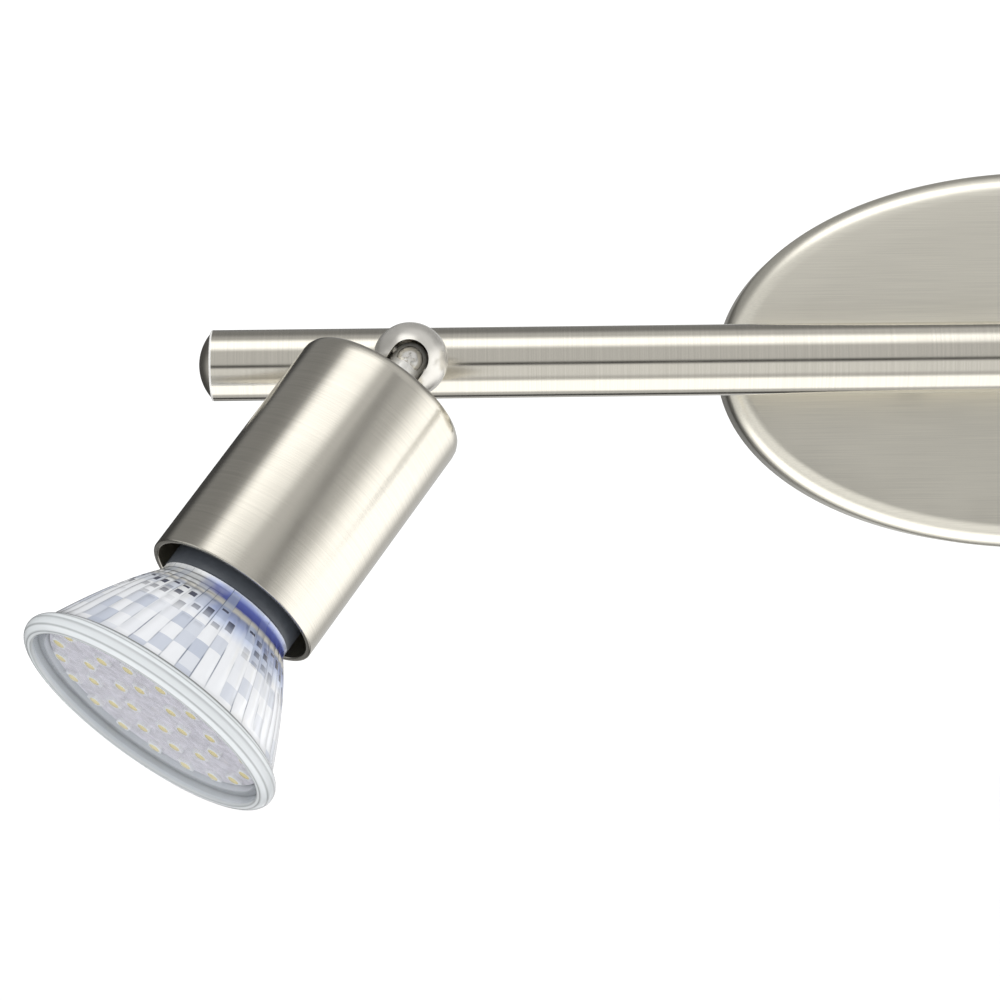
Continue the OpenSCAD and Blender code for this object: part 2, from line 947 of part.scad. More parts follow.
module cover_glass(side) {
    edge_r = seat_r - thread_gap;
    color("white", 0.4)
        spot_frame(side)
            translate([0, 0, seat_s + thread_gap])
                rotate_extrude()
                    polygon([
                        [0, 0],
                        [edge_r, 0],
                        for (k = [0 : glass_steps])
                            let (r = edge_r * (1 - k / glass_steps))
                            [r, glass_t + glass_rise * (1 - pow(r / edge_r, 2))]]);
}

wall_bracket();
canopy();
canopy_screws();
terminal_block();
terminal_tubes();
terminal_screws();
block_screws();
earth_screw();
spacer_collars();
hollow_stems();
stem_nuts();
bar_tube();
end_cap(left);  // left_end_cap
end_cap(right);  // right_end_cap
bar_leads(left);  // left_bar_leads
bar_leads(right);  // right_bar_leads
saddle_washer(left);  // left_saddle_washer
saddle_washer(right);  // right_saddle_washer
swivel_ball(left);  // left_swivel_ball
swivel_ball(right);  // right_swivel_ball
swivel_clip(left);  // left_swivel_clip
swivel_clip(right);  // right_swivel_clip
pivot_screws(left);  // left_pivot_screws
pivot_screws(right);  // right_pivot_screws
knuckle(left);  // left_knuckle
knuckle(right);  // right_knuckle
grip_screw(left);  // left_grip_screw
grip_screw(right);  // right_grip_screw
neck_nut(left);  // left_neck_nut
neck_nut(right);  // right_neck_nut
shade(left);  // left_shade
shade(right);  // right_shade
holder_bracket(left);  // left_holder_bracket
holder_bracket(right);  // right_holder_bracket
lampholder(left);  // left_lampholder
lampholder(right);  // right_lampholder
holder_screws(left);  // left_holder_screws
holder_screws(right);  // right_holder_screws
holder_contacts(left);  // left_holder_contacts
holder_contacts(right);  // right_holder_contacts
head_leads(left);  // left_head_leads
head_leads(right);  // right_head_leads
lamp_base(left);  // left_lamp_base
lamp_base(right);  // right_lamp_base
lamp_pins(left);  // left_lamp_pins
lamp_pins(right);  // right_lamp_pins
driver_board(left);  // left_driver_board
driver_board(right);  // right_driver_board
lamp_collar(left);  // left_lamp_collar
lamp_collar(right);  // right_lamp_collar
reflector(left);  // left_reflector
reflector(right);  // right_reflector
led_board(left);  // left_led_board
led_board(right);  // right_led_board
leds(left);  // left_leds
leds(right);  // right_leds
cover_glass(left);  // left_cover_glass
cover_glass(right);  // right_cover_glass
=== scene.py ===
"""Looks of a two-light spot bar: satin nickel metalwork and glass reflector lamps."""

import json
import math

import bmesh
import bpy
from mathutils import Matrix, Vector

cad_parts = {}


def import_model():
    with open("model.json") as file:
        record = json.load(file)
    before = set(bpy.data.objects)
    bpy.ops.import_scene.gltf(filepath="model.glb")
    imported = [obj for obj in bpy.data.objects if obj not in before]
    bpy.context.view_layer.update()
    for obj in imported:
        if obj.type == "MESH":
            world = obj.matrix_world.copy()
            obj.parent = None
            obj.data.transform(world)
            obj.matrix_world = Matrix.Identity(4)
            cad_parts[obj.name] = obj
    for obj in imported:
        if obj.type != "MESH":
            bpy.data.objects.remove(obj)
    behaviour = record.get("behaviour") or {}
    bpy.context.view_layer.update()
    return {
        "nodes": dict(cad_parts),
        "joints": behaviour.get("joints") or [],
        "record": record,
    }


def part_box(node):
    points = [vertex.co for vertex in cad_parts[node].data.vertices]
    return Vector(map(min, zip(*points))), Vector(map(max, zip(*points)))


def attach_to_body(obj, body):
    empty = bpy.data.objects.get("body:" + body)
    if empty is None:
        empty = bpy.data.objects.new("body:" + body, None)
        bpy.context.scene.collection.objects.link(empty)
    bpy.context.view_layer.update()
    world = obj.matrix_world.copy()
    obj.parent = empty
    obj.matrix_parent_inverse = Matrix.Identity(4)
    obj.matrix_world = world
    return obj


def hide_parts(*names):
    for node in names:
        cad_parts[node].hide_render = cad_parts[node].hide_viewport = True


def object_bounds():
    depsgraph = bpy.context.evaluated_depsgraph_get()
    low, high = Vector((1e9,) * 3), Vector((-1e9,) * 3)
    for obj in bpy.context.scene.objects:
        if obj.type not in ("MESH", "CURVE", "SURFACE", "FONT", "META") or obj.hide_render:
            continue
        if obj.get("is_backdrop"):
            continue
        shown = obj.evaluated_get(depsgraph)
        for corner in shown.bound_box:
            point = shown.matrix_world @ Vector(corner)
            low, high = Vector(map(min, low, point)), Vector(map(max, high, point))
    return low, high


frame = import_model()

MM = 0.001
TAU = 2 * math.pi
SIDES = ("left", "right")
ROUND, SMALL_ROUND = 160, 96  # steps round a large and a small turned piece
FILLET_STEPS = 5
ON_AXIS = 1e-6  # a smaller radius is a single point
SHARP = math.radians(40)  # edges that turn more than this stay crisp


# ---- places, all read from the frame -----------------------------------


def joint(name):
    return next(j for j in frame["joints"] if j["name"] == name)


def axes_matrix(x, y, z, origin):
    matrix = Matrix((x, y, z)).transposed().to_4x4()
    matrix.translation = origin
    return matrix


def swivel_matrix(side):
    """Origin at the pivot, X the tilt axis, Z along the pan axis, out from the wall."""
    x = Vector(joint(side + "_tilt")["axis"]).normalized()
    z = Vector((0, -1, 0))
    return axes_matrix(x, z.cross(x), z, Vector(joint(side + "_tilt")["pos_m"]))


def spot_matrix(side):
    """Origin at the pivot, X the tilt axis, Z along the spot towards its lamp."""
    x = Vector(joint(side + "_tilt")["axis"]).normalized()
    z = Vector(joint(side + "_lamp_twist")["axis"]).normalized()
    return axes_matrix(x, z.cross(x), z, Vector(joint(side + "_tilt")["pos_m"]))


def bar_matrix():
    """Origin at the middle of the bar, Z along it."""
    low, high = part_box("bar_tube")
    middle = (low + high) / 2
    return axes_matrix(Vector((0, 0, 1)), Vector((0, -1, 0)), Vector((1, 0, 0)), middle)


def extent(node, matrix):
    """A turned node's largest radius and its ends along Z, in millimetres in that frame."""
    inverse = matrix.inverted()
    points = [inverse @ v.co for v in frame["nodes"][node].data.vertices]
    radius = max(math.hypot(p.x, p.y) for p in points)
    return radius / MM, min(p.z for p in points) / MM, max(p.z for p in points) / MM


# ---- mesh making -------------------------------------------------------


def rounded(corners):
    """Outline through corners (radius, z, fillet), with each fillet drawn as a short curve."""
    outline = []
    count = len(corners)
    for i, (r, z, fillet) in enumerate(corners):
        corner = Vector((r, z))
        if not fillet:
            outline.append((r, z))
            continue
        before = Vector(corners[i - 1][:2])
        after = Vector(corners[(i + 1) % count][:2])
        start = corner + (before - corner).normalized() * fillet
        end = corner + (after - corner).normalized() * fillet
        for k in range(FILLET_STEPS + 1):
            t = k / FILLET_STEPS
            p = start * (1 - t) ** 2 + corner * 2 * t * (1 - t) + end * t ** 2
            outline.append((p.x, p.y))
    return outline


def arc(centre_r, centre_z, radius, start, end, steps=12):
    """Points of an arc; angles in degrees, 0 along the radius and 90 along Z."""
    angles = [math.radians(start + (end - start) * k / steps) for k in range(steps + 1)]
    return [(centre_r + radius * math.cos(a), centre_z + radius * math.sin(a)) for a in angles]


def circle(radius, count=20):
    angles = [TAU * (k + 0.5) / count for k in range(count)]
    return [(radius * math.cos(a), radius * math.sin(a)) for a in angles]


def scaled(points, factor):
    return [(x * factor, y * factor) for x, y in points]


def finish_mesh(bm, name, matrix, material):
    bmesh.ops.recalc_face_normals(bm, faces=bm.faces)
    mesh = bpy.data.meshes.new(name)
    bm.to_mesh(mesh)
    bm.free()
    mesh.polygons.foreach_set("use_smooth", [True] * len(mesh.polygons))
    mesh.set_sharp_from_angle(angle=SHARP)
    piece = bpy.data.objects.new(name, mesh)
    bpy.context.scene.collection.objects.link(piece)
    piece.matrix_world = matrix
    for m in material if isinstance(material, list) else [material]:
        mesh.materials.append(m)
    return piece


def bridge(bm, a, b, steps):
    """Faces between two rings; a ring of one point makes a fan."""
    for k in range(steps):
        n = (k + 1) % steps
        corners = [a[k % len(a)], a[n % len(a)], b[n % len(b)], b[k % len(b)]]
        face = list(dict.fromkeys(corners))
        if len(face) > 2:
            bm.faces.new(face)


def revolve(bm, outline, steps=ROUND, shape=None, closed=True):
    """Turns an outline of (radius, z) in millimetres round Z.

    shape(radius, z, angle) may bend the radius.
    """
    rings = []
    for r, z in outline:
        if r < ON_AXIS:
            rings.append([bm.verts.new((0, 0, z * MM))])
            continue
        ring = []
        for k in range(steps):
            angle = TAU * k / steps
            radius = shape(r, z, angle) if shape else r
            x, y = radius * math.cos(angle), radius * math.sin(angle)
            ring.append(bm.verts.new((x * MM, y * MM, z * MM)))
        rings.append(ring)
    for a, b in zip(rings, rings[1:]):
        bridge(bm, a, b, steps)
    if closed:
        bridge(bm, rings[-1], rings[0], steps)
    return rings


def lathe(name, outline, matrix, material, steps=ROUND, shape=None, closed=True):
    bm = bmesh.new()
    revolve(bm, outline, steps, shape, closed)
    return finish_mesh(bm, name, matrix, material)


def carve(piece, cutter):
    """Takes the cutter's volume away from the piece."""
    cut = piece.modifiers.new("cut", "BOOLEAN")
    cut.operation = "DIFFERENCE"
    cut.solver = "EXACT"
    cut.object = cutter
    whole = piece.evaluated_get(bpy.context.evaluated_depsgraph_get())
    carved = bpy.data.meshes.new_from_object(whole)
    carved.name = piece.name + "_carved"
    piece.modifiers.clear()
    piece.data = carved
    carved.set_sharp_from_angle(angle=SHARP)
    bpy.data.objects.remove(cutter)


def paint(piece, slot, test):
    """Gives the faces that pass the test, on centre and normal, another of the piece's materials."""
    for face in piece.data.polygons:
        if test(face.center, face.normal):
            face.material_index = slot


def attach(piece, body, slot, *nodes):
    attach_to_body(piece, body)
    if nodes:
        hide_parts(*nodes)
    return piece


# ---- materials ---------------------------------------------------------


NOISE_LOW, NOISE_HIGH = 0.3, 0.7  # most of a noise lies between these
GREY_TINT = (0.97, 0.99, 1.0)
MIX_SHARE, MIX_BELOW, MIX_ABOVE, MIX_RESULT = 0, 6, 7, 2  # colour sockets of a Mix node


class Tree:
    """A node tree, and a few ways to add to it."""

    def __init__(self, tree):
        self.nodes, self.links = tree.nodes, tree.links

    def node(self, kind, **values):
        made = self.nodes.new("ShaderNode" + kind)
        for key, value in values.items():
            if key in made.inputs:
                made.inputs[key].default_value = value
            else:
                setattr(made, key, value)
        return made

    def feed(self, socket, value):
        """Sets a socket to a number, colour or vector, or links an output to it."""
        if isinstance(value, (float, tuple, Vector)):
            socket.default_value = value
        else:
            self.links.new(value, socket)

    def math(self, operation, a, b=0.0):
        made = self.node("Math", operation=operation)
        self.feed(made.inputs[0], a)
        self.feed(made.inputs[1], b)
        return made.outputs["Value"]

    def between(self, value, low, high, to_low=0.0, to_high=1.0, **values):
        """Maps low..high of a value to to_low..to_high, and no further."""
        made = self.node("MapRange", **values)
        limits = {"From Min": low, "From Max": high, "To Min": to_low, "To Max": to_high}
        for key, number in limits.items():
            made.inputs[key].default_value = number
        self.links.new(value, made.inputs["Value"])
        return made.outputs["Result"]


class Shader(Tree):
    """A material with one Principled shader, and a few ways to add texture to it."""

    def __init__(self, name, **values):
        self.material = bpy.data.materials.new(name)
        self.material.use_nodes = True
        super().__init__(self.material.node_tree)
        self.bsdf = self.nodes["Principled BSDF"]
        self.output = self.nodes["Material Output"]
        for key, value in values.items():
            self.bsdf.inputs[key.replace("_", " ")].default_value = value

    def axes(self):
        """X, Y and Z in the piece's own frame, in metres."""
        parts = self.node("SeparateXYZ")
        self.links.new(self.node("TexCoord").outputs["Object"], parts.inputs["Vector"])
        return [parts.outputs[axis] for axis in "XYZ"]

    def noise(self, scale, stretch=(1, 1, 1), detail=3.0):
        """Noise in the piece's own frame; scale is in cycles per metre."""
        place = self.node("TexCoord")
        mapping = self.node("Mapping", Scale=stretch)
        texture = self.node("TexNoise", Scale=scale, Detail=detail)
        self.links.new(place.outputs["Object"], mapping.inputs["Vector"])
        self.links.new(mapping.outputs["Vector"], texture.inputs["Vector"])
        return texture.outputs["Fac"]

    def roughen(self, source, low, high):
        """Spreads the roughness from low to high over a noise."""
        spread = self.between(source, NOISE_LOW, NOISE_HIGH, low, high)
        self.links.new(spread, self.bsdf.inputs["Roughness"])

    def tones(self, source, dark, light):
        """Colours the surface from dark to light over a noise."""
        ramp = self.node("ValToRGB")
        places = (NOISE_LOW, NOISE_HIGH)
        for element, at, colour in zip(ramp.color_ramp.elements, places, (dark, light)):
            element.position = at
            element.color = (*colour, 1)
        self.links.new(source, ramp.inputs["Fac"])
        self.links.new(ramp.outputs["Color"], self.bsdf.inputs["Base Color"])

    def stops(self, measure, stops):
        """Colours at places along a measure, in millimetres; a grey may be one number."""
        start, end = stops[0][0] * MM, stops[-1][0] * MM
        ramp = self.node("ValToRGB")
        elements = ramp.color_ramp.elements
        while len(elements) < len(stops):
            elements.new(0.5)
        for element, (at, colour) in zip(elements, stops):
            element.position = (at * MM - start) / (end - start)
            rgb = colour if isinstance(colour, tuple) else [colour * t for t in GREY_TINT]
            element.color = (*rgb, 1)
        self.links.new(self.between(measure, start, end), ramp.inputs["Fac"])
        return ramp.outputs["Color"]

    def mix(self, share, below, above, **values):
        """Lays one colour over another."""
        made = self.node("Mix", data_type="RGBA", **values)
        self.feed(made.inputs[MIX_SHARE], share)
        self.feed(made.inputs[MIX_BELOW], below)
        self.feed(made.inputs[MIX_ABOVE], above)
        return made.outputs[MIX_RESULT]

    def bump(self, source, depth):
        """Relief of that depth in millimetres."""
        made = self.node("Bump", Strength=1.0, Distance=depth * MM)
        self.links.new(source, made.inputs["Height"])
        self.links.new(made.outputs["Normal"], self.bsdf.inputs["Normal"])


def shade_of(colour, factor):
    return tuple(min(1, c * factor) for c in colour)


NICKEL = (0.70, 0.668, 0.59)
LINE_DARK, LINE_LIGHT = 0.93, 1.04  # tones of brushed lines, as shares of the colour
LINE_DEPTH = 0.0012
TURNED_ANISOTROPY, TURNED_ROTATION = 0.85, 0.25
LEAST_ROUGH, MOST_ROUGH = 0.9, 1.12  # shares of a plain surface's roughness


def brushed(name, stretch, roughness, colour=NICKEL, turned=False):
    """Satin nickel with fine lines; on a turned piece they spread its reflections.

    stretch is large along the direction that crosses the lines.
    """
    s = Shader(name, Metallic=1.0, Roughness=roughness)
    lines = s.noise(1.0, stretch, detail=4.0)
    cloud = s.noise(90.0, detail=2.0)
    s.tones(lines, shade_of(colour, LINE_DARK), shade_of(colour, LINE_LIGHT))
    s.roughen(cloud, roughness - 0.02, roughness + 0.03)
    s.bump(lines, LINE_DEPTH)
    if turned:
        s.bsdf.inputs["Anisotropic"].default_value = TURNED_ANISOTROPY
        s.bsdf.inputs["Anisotropic Rotation"].default_value = TURNED_ROTATION
        tangent = s.node("Tangent", direction_type="RADIAL", axis="Z")
        s.links.new(tangent.outputs["Tangent"], s.bsdf.inputs["Tangent"])
    return s.material


def plain(name, colour, roughness, metallic=0.0, relief=0.004, scale=900.0, variety=0.06, **more):
    """Moulded or plated surface: a little variety in tone and gloss, and a fine relief."""
    s = Shader(name, Metallic=metallic, Roughness=roughness, **more)
    texture = s.noise(scale)
    s.tones(texture, shade_of(colour, 1 - variety), shade_of(colour, 1 + variety))
    s.roughen(texture, roughness * LEAST_ROUGH, roughness * MOST_ROUGH)
    s.bump(texture, relief)
    return s.material


FILM_FACING, FILM_EDGE_ON, FILM_POWER = 0.02, 0.6, 4.0  # how much a thin glass reflects


def clear_film(name):
    """Thin flat glass: mostly clear, with a reflection that grows towards its edge-on view."""
    s = Shader(name, Roughness=0.03, Metallic=1.0, Base_Color=(0.93, 0.95, 0.98, 1))
    clear = s.node("BsdfTransparent", Color=(0.985, 0.99, 1.0, 1))
    edge = s.node("LayerWeight", Blend=0.5)
    mix = s.node("MixShader")
    s.bump(s.noise(400.0), 0.001)
    grown = s.math("POWER", edge.outputs["Facing"], FILM_POWER)
    share = s.between(grown, 0.0, 1.0, FILM_FACING, FILM_EDGE_ON)
    s.links.new(share, mix.inputs["Fac"])
    s.links.new(clear.outputs["BSDF"], mix.inputs[1])
    s.links.new(s.bsdf.outputs["BSDF"], mix.inputs[2])
    s.links.new(mix.outputs["Shader"], s.output.inputs["Surface"])
    return s.material


FLUTES = 48
GLASS = (0.94, 0.955, 0.985)
# Blue-grey facets, at random round and along the glass, are painted reflections.
FACET_REFLECTION_COLOUR, GROOVE_SHADE_COLOUR, CHIP_COLOUR = (0.44, 0.50, 0.64), (0.12, 0.15, 0.22), (0.03, 0.035, 0.07)
FACET_ROWS, CHIP_ROWS = 330.0, 1000.0  # per metre along the spot
FACET_CHANCE, FACET_SHARE = (0.55, 1.0), 0.75
CHIP_CHANCE, CHIP_SHARE = (0.6, 0.75), 0.95
CHIP_ON_RIB = (0.5, 0.62)
CHIPS_START, CHIPS_FADE = (61.5, 61.6), (63.0, 68.0)  # along the spot, in millimetres
# Dark broken lines in the grooves between the flutes are painted shade.
GROOVE_SHADE_WIDTH = 0.2
GROOVE_SHADE_BREAKS = (0.42, 0.62)
# The neck's colour is a painted reflection, blue on one side of the spot and silver on the other.
BLUE_REFLECTION_FROM, BLUE_REFLECTION_WANDER = -7.0, 3.0  # the blue side of the neck, in millimetres across
# Places along the spot in millimetres, with a colour or a grey: painted reflections of the coated
# neck, dark rings of painted shade, and the cement ring's colour painted where it shows through.
BLUE_NECK_PAINTED_REFLECTION = [
    (57.0, (0.80, 0.84, 0.95)), (57.5, (0.42, 0.50, 0.85)), (58.3, (0.16, 0.20, 0.58)),
    (59.6, (0.10, 0.12, 0.40)), (60.1, (0.55, 0.54, 0.50)), (60.7, (0.66, 0.64, 0.57)),
    (61.2, (0.24, 0.28, 0.42)), (62.4, (0.34, 0.40, 0.62)), (64.0, (0.68, 0.75, 0.92)),
    (66.0, GLASS)]
SILVER_NECK_PAINTED_REFLECTION = [
    (57.0, 0.92), (57.8, 0.80), (58.0, 0.22), (58.3, 0.88), (59.0, 0.80), (59.2, 0.20),
    (59.5, 0.85), (60.0, 0.85), (60.2, 0.25), (60.6, (0.78, 0.76, 0.70)), (61.2, 0.30),
    (61.6, 0.84), (66.0, GLASS)]
# Greys on the rim glass are painted shade: its inner wall darkens towards the cover, and dark rings
# stand in for its thickness.
RIM_PAINTED_SHADE = [
    (76.6, 0.90), (77.1, 0.30), (77.5, 0.95), (78.6, 1.0), (78.9, 0.55), (79.3, 0.86),
    (80.1, 1.0), (80.8, 1.0)]
BEAD_PAINTED_SHADE = [  # from the spot's axis in millimetres, grey
    (22.4, 0.92), (22.62, 0.80), (22.8, 0.50), (23.0, 0.90), (23.3, 0.92), (23.45, 0.42),
    (23.6, 0.75), (23.8, 1.0), (24.4, 1.0), (24.6, 0.50), (24.75, 0.95), (25.0, 1.0)]


def in_metres(span):
    return [value * MM for value in span]


def fluted_glass(name):
    """Coated glass, with painted reflections by its neck: dark rings of painted shade, blue on one
    side and silver on the other.

    Broken dark lines of painted shade run in the grooves between the flutes, over blue-grey facets
    of painted reflection, and dark chips sit on the ribs past the neck.
    """
    s = Shader(name, Roughness=0.09, Metallic=0.1, Transmission_Weight=0.12, IOR=1.46,
               Coat_Weight=0.6, Coat_Roughness=0.02)
    x, y, z = s.axes()
    angle = s.math("ARCTAN2", y, x)
    rib = s.math("ABSOLUTE", s.math("SINE", s.math("MULTIPLY", angle, FLUTES / 2)))

    def cells(rows, chance, share=1.0):
        """Chance tones in a grid of flutes round the glass and rows along it."""
        cell = s.node("CombineXYZ")
        for axis, measure, count in (("X", angle, FLUTES / TAU), ("Y", z, rows)):
            s.links.new(s.math("FLOOR", s.math("MULTIPLY", measure, count)), cell.inputs[axis])
        noise = s.node("TexWhiteNoise", noise_dimensions="3D")
        s.links.new(cell.outputs["Vector"], noise.inputs["Vector"])
        return s.between(noise.outputs["Value"], *chance, 0.0, share)

    # Painted reflection: blue on one side of the neck, silver on the other.
    wander = s.between(s.noise(160.0), NOISE_LOW, NOISE_HIGH, -BLUE_REFLECTION_WANDER * MM, BLUE_REFLECTION_WANDER * MM)
    blue = s.between(s.math("ADD", x, wander), BLUE_REFLECTION_FROM * MM, 0.0)
    colour = s.mix(blue, s.stops(z, SILVER_NECK_PAINTED_REFLECTION), s.stops(z, BLUE_NECK_PAINTED_REFLECTION))

    # Painted shade in the grooves between the flutes, broken by a noise.
    breaks = s.between(s.noise(1.0, (220.0, 220.0, 90.0), detail=2.0), *GROOVE_SHADE_BREAKS)
    groove_shade = s.math("MULTIPLY", s.between(rib, 0.0, GROOVE_SHADE_WIDTH, 1.0, 0.0), breaks)
    past_neck = s.math("MULTIPLY", s.between(rib, *CHIP_ON_RIB),
                       s.between(z, *in_metres(CHIPS_START)))
    chip = s.math("MULTIPLY", cells(CHIP_ROWS, CHIP_CHANCE), past_neck)
    chip = s.math("MULTIPLY", chip, s.between(z, *in_metres(CHIPS_FADE), CHIP_SHARE, 0.0))
    # Painted reflection: some facets are darker blue-grey than others.
    facet_reflection = cells(FACET_ROWS, FACET_CHANCE, FACET_SHARE)
    for share, tone in ((facet_reflection, FACET_REFLECTION_COLOUR), (groove_shade, GROOVE_SHADE_COLOUR), (chip, CHIP_COLOUR)):
        colour = s.mix(share, colour, (*tone, 1))
    s.links.new(colour, s.bsdf.inputs["Base Color"])
    s.roughen(s.noise(700.0), 0.07, 0.12)
    s.bump(s.noise(260.0), 0.03)
    return s.material


def rim_glass(name):
    """Solid clear glass of the rim: pale, with darker rings of painted shade that stand in for the
    way its thickness shows.
    """
    s = Shader(name, Roughness=0.05, Transmission_Weight=0.2, IOR=1.46)
    x, y, z = s.axes()
    flat = s.node("CombineXYZ")
    s.links.new(x, flat.inputs["X"])
    s.links.new(y, flat.inputs["Y"])
    radius = s.node("VectorMath", operation="LENGTH")
    s.links.new(flat.outputs["Vector"], radius.inputs[0])
    # Painted shade along the rim and across its bead.
    tone = s.mix(1.0, s.stops(z, RIM_PAINTED_SHADE), s.stops(radius.outputs["Value"], BEAD_PAINTED_SHADE),
                 blend_type="MULTIPLY")
    s.links.new(tone, s.bsdf.inputs["Base Color"])
    texture = s.noise(300.0)
    s.roughen(texture, 0.03, 0.07)
    s.bump(texture, 0.01)
    return s.material


ACROSS, ALONG = 6000.0, 60.0  # fine lines per metre, across and along them
SHEET_LINES = (ALONG, ACROSS, ACROSS)
TURNED_LINES = (ALONG, ALONG, ACROSS)

BRUSHED = {  # stretch, roughness, colour, turned
    "satin_nickel": (SHEET_LINES, 0.24),
    "pressed_nickel": (SHEET_LINES, 0.30, (0.93, 0.895, 0.785)),
    "turned_nickel": (TURNED_LINES, 0.18, NICKEL, True),
    "brushed_nickel": (TURNED_LINES, 0.21, NICKEL, True),
    "dark_nickel": (SHEET_LINES, 0.30, shade_of(NICKEL, 0.8)),
}
PLAIN = {  # colour, roughness, metallic, relief, scale, variety
    "shade_inside": ((0.20, 0.18, 0.13), 0.45, 0.6, 0.002),
    "cast_nickel": ((0.72, 0.70, 0.65), 0.24, 0.68, 0.0006, 900.0, 0.02),
    # pale and mostly diffuse: a painted highlight on the bar's ends, and painted light on the
    # knuckle in its shaded slot
    "pale_highlight_nickel": ((0.96, 0.95, 0.92), 0.2, 0.2, 0.0006, 900.0, 0.02),
    "nickel_screw": ((0.88, 0.865, 0.83), 0.2, 0.7, 0.001, 2500.0),
    "zinc_plate": ((0.66, 0.68, 0.70), 0.32, 1.0, 0.003, 700.0),
    "zinc_screw": ((0.72, 0.73, 0.74), 0.24, 1.0, 0.001, 2500.0),
    "brass": ((0.78, 0.60, 0.30), 0.31, 1.0, 0.001, 1500.0),
    "spring_brass": ((0.72, 0.56, 0.32), 0.35, 1.0, 0.001, 1500.0),
    "ivory_plastic": ((0.82, 0.79, 0.70), 0.45),
    "ceramic": ((0.84, 0.82, 0.76), 0.38, 0.0, 0.01, 600.0),
    "lead_sleeve": ((0.84, 0.83, 0.80), 0.5, 0.0, 0.01, 3000.0),
    "slate_plastic": ((0.075, 0.085, 0.10), 0.34),
    "pin_metal": ((0.72, 0.70, 0.66), 0.24, 1.0, 0.001, 2500.0),
    "circuit_board": ((0.05, 0.20, 0.10), 0.35),
    "led_plate": ((0.80, 0.77, 0.82), 0.35, 0.0, 0.004, 700.0, 0.2),
    "led_package": ((0.95, 0.95, 0.95), 0.3, 0.0, 0.004, 1500.0),
    "led_phosphor": ((0.93, 0.80, 0.36), 0.15, 0.0, 0.004, 1500.0),
}

materials = {name: brushed(name, *values) for name, values in BRUSHED.items()}
materials.update({name: plain(name, *values) for name, values in PLAIN.items()})
materials["fluted_glass"] = fluted_glass("fluted_glass")
materials["rim_glass"] = rim_glass("rim_glass")
materials["cover_glass"] = clear_film("cover_glass")
materials["clear_glass"] = plain("clear_glass", (0.96, 0.97, 0.98), 0.02, relief=0.0005,
                                 variety=0.005, Transmission_Weight=1.0, IOR=1.47)


def dress_cad_nodes():
    for part in frame["record"]["subparts"]:
        mesh = frame["nodes"][part["node"]].data
        mesh.materials.clear()
        mesh.materials.append(materials[part["material_slot"]])


dress_cad_nodes()


# ---- bar ---------------------------------------------------------------


BAR_WALL, BAR_FILLET, BORE_FILLET = 0.9, 0.4, 0.1
PLUG_GAP = 0.05  # between a cap's plug and the bore
DOME_STEPS = 14


def bar():
    """Tube with rounded ends that carry a painted highlight in a pale, mostly diffuse finish."""
    matrix = bar_matrix()
    radius, low, high = extent("bar_tube", matrix)
    bore = radius - BAR_WALL
    outline = rounded([(radius, low, BAR_FILLET), (radius, high, BAR_FILLET),
                       (bore, high, BORE_FILLET), (bore, low, BORE_FILLET)])
    piece = lathe("bar_tube_turned", outline, matrix,
                  [materials["turned_nickel"], materials["pale_highlight_nickel"]])
    # The rounded ends get the pale finish, a painted highlight.
    paint(piece, 1, lambda c, n: abs(c.z) / MM > high - BAR_FILLET)
    attach(piece, "fixture", "satin_nickel", "bar_tube")


def end_cap(side):
    """Plug in the bar with a dome over the tube's end."""
    matrix = bar_matrix()
    if side == "left":
        matrix = matrix @ Matrix.Rotation(math.pi, 4, "X")
    radius, low, high = extent(side + "_end_cap", matrix)
    bar_radius, _, tube_end = extent("bar_tube", matrix)
    rise = high - tube_end
    plug = bar_radius - BAR_WALL - PLUG_GAP
    rim = radius - BAR_FILLET / 2
    curve = (rim ** 2 + rise ** 2) / (2 * rise)
    dome = arc(0, high - curve, curve, math.degrees(math.acos(rim / curve)), 90, DOME_STEPS)
    outline = [(0, low), (plug, low), (plug, tube_end)] + dome
    piece = lathe(side + "_end_cap_turned", outline, matrix, materials["dark_nickel"], closed=False)
    attach(piece, "fixture", "dark_nickel", side + "_end_cap")


bar()
for side in SIDES:
    end_cap(side)


# ---- seats on the bar --------------------------------------------------


SEAT_GAP = 0.05  # between a seat and the bar
COLLAR_HOLE, WASHER_HOLE = 4.1, 3.1  # radii


def facing_out():
    """Origin on the wall, Z straight out."""
    return axes_matrix(Vector((1, 0, 0)), Vector((0, 0, 1)), Vector((0, -1, 0)), Vector((0, 0, 0)))


def bar_cutter():
    radius, low, high = extent("bar_tube", bar_matrix())
    outline = [(0, low), (radius + SEAT_GAP, low), (radius + SEAT_GAP, high), (0, high)]
    return lathe("cutter", outline, bar_matrix(), materials["satin_nickel"], steps=SMALL_ROUND,
                 closed=False)


def bar_seats(name, places, outline, node):
    """Turned rings on the fixture, whose ends are cut to sit on the bar."""
    bm = bmesh.new()
    for x in places:
        rings = revolve(bm, outline, steps=SMALL_ROUND)
        bmesh.ops.translate(bm, verts=[v for ring in rings for v in ring], vec=(x, 0, 0))
    piece = finish_mesh(bm, name, facing_out(), materials["turned_nickel"])
    carve(piece, bar_cutter())
    attach(piece, "fixture", "satin_nickel", node)


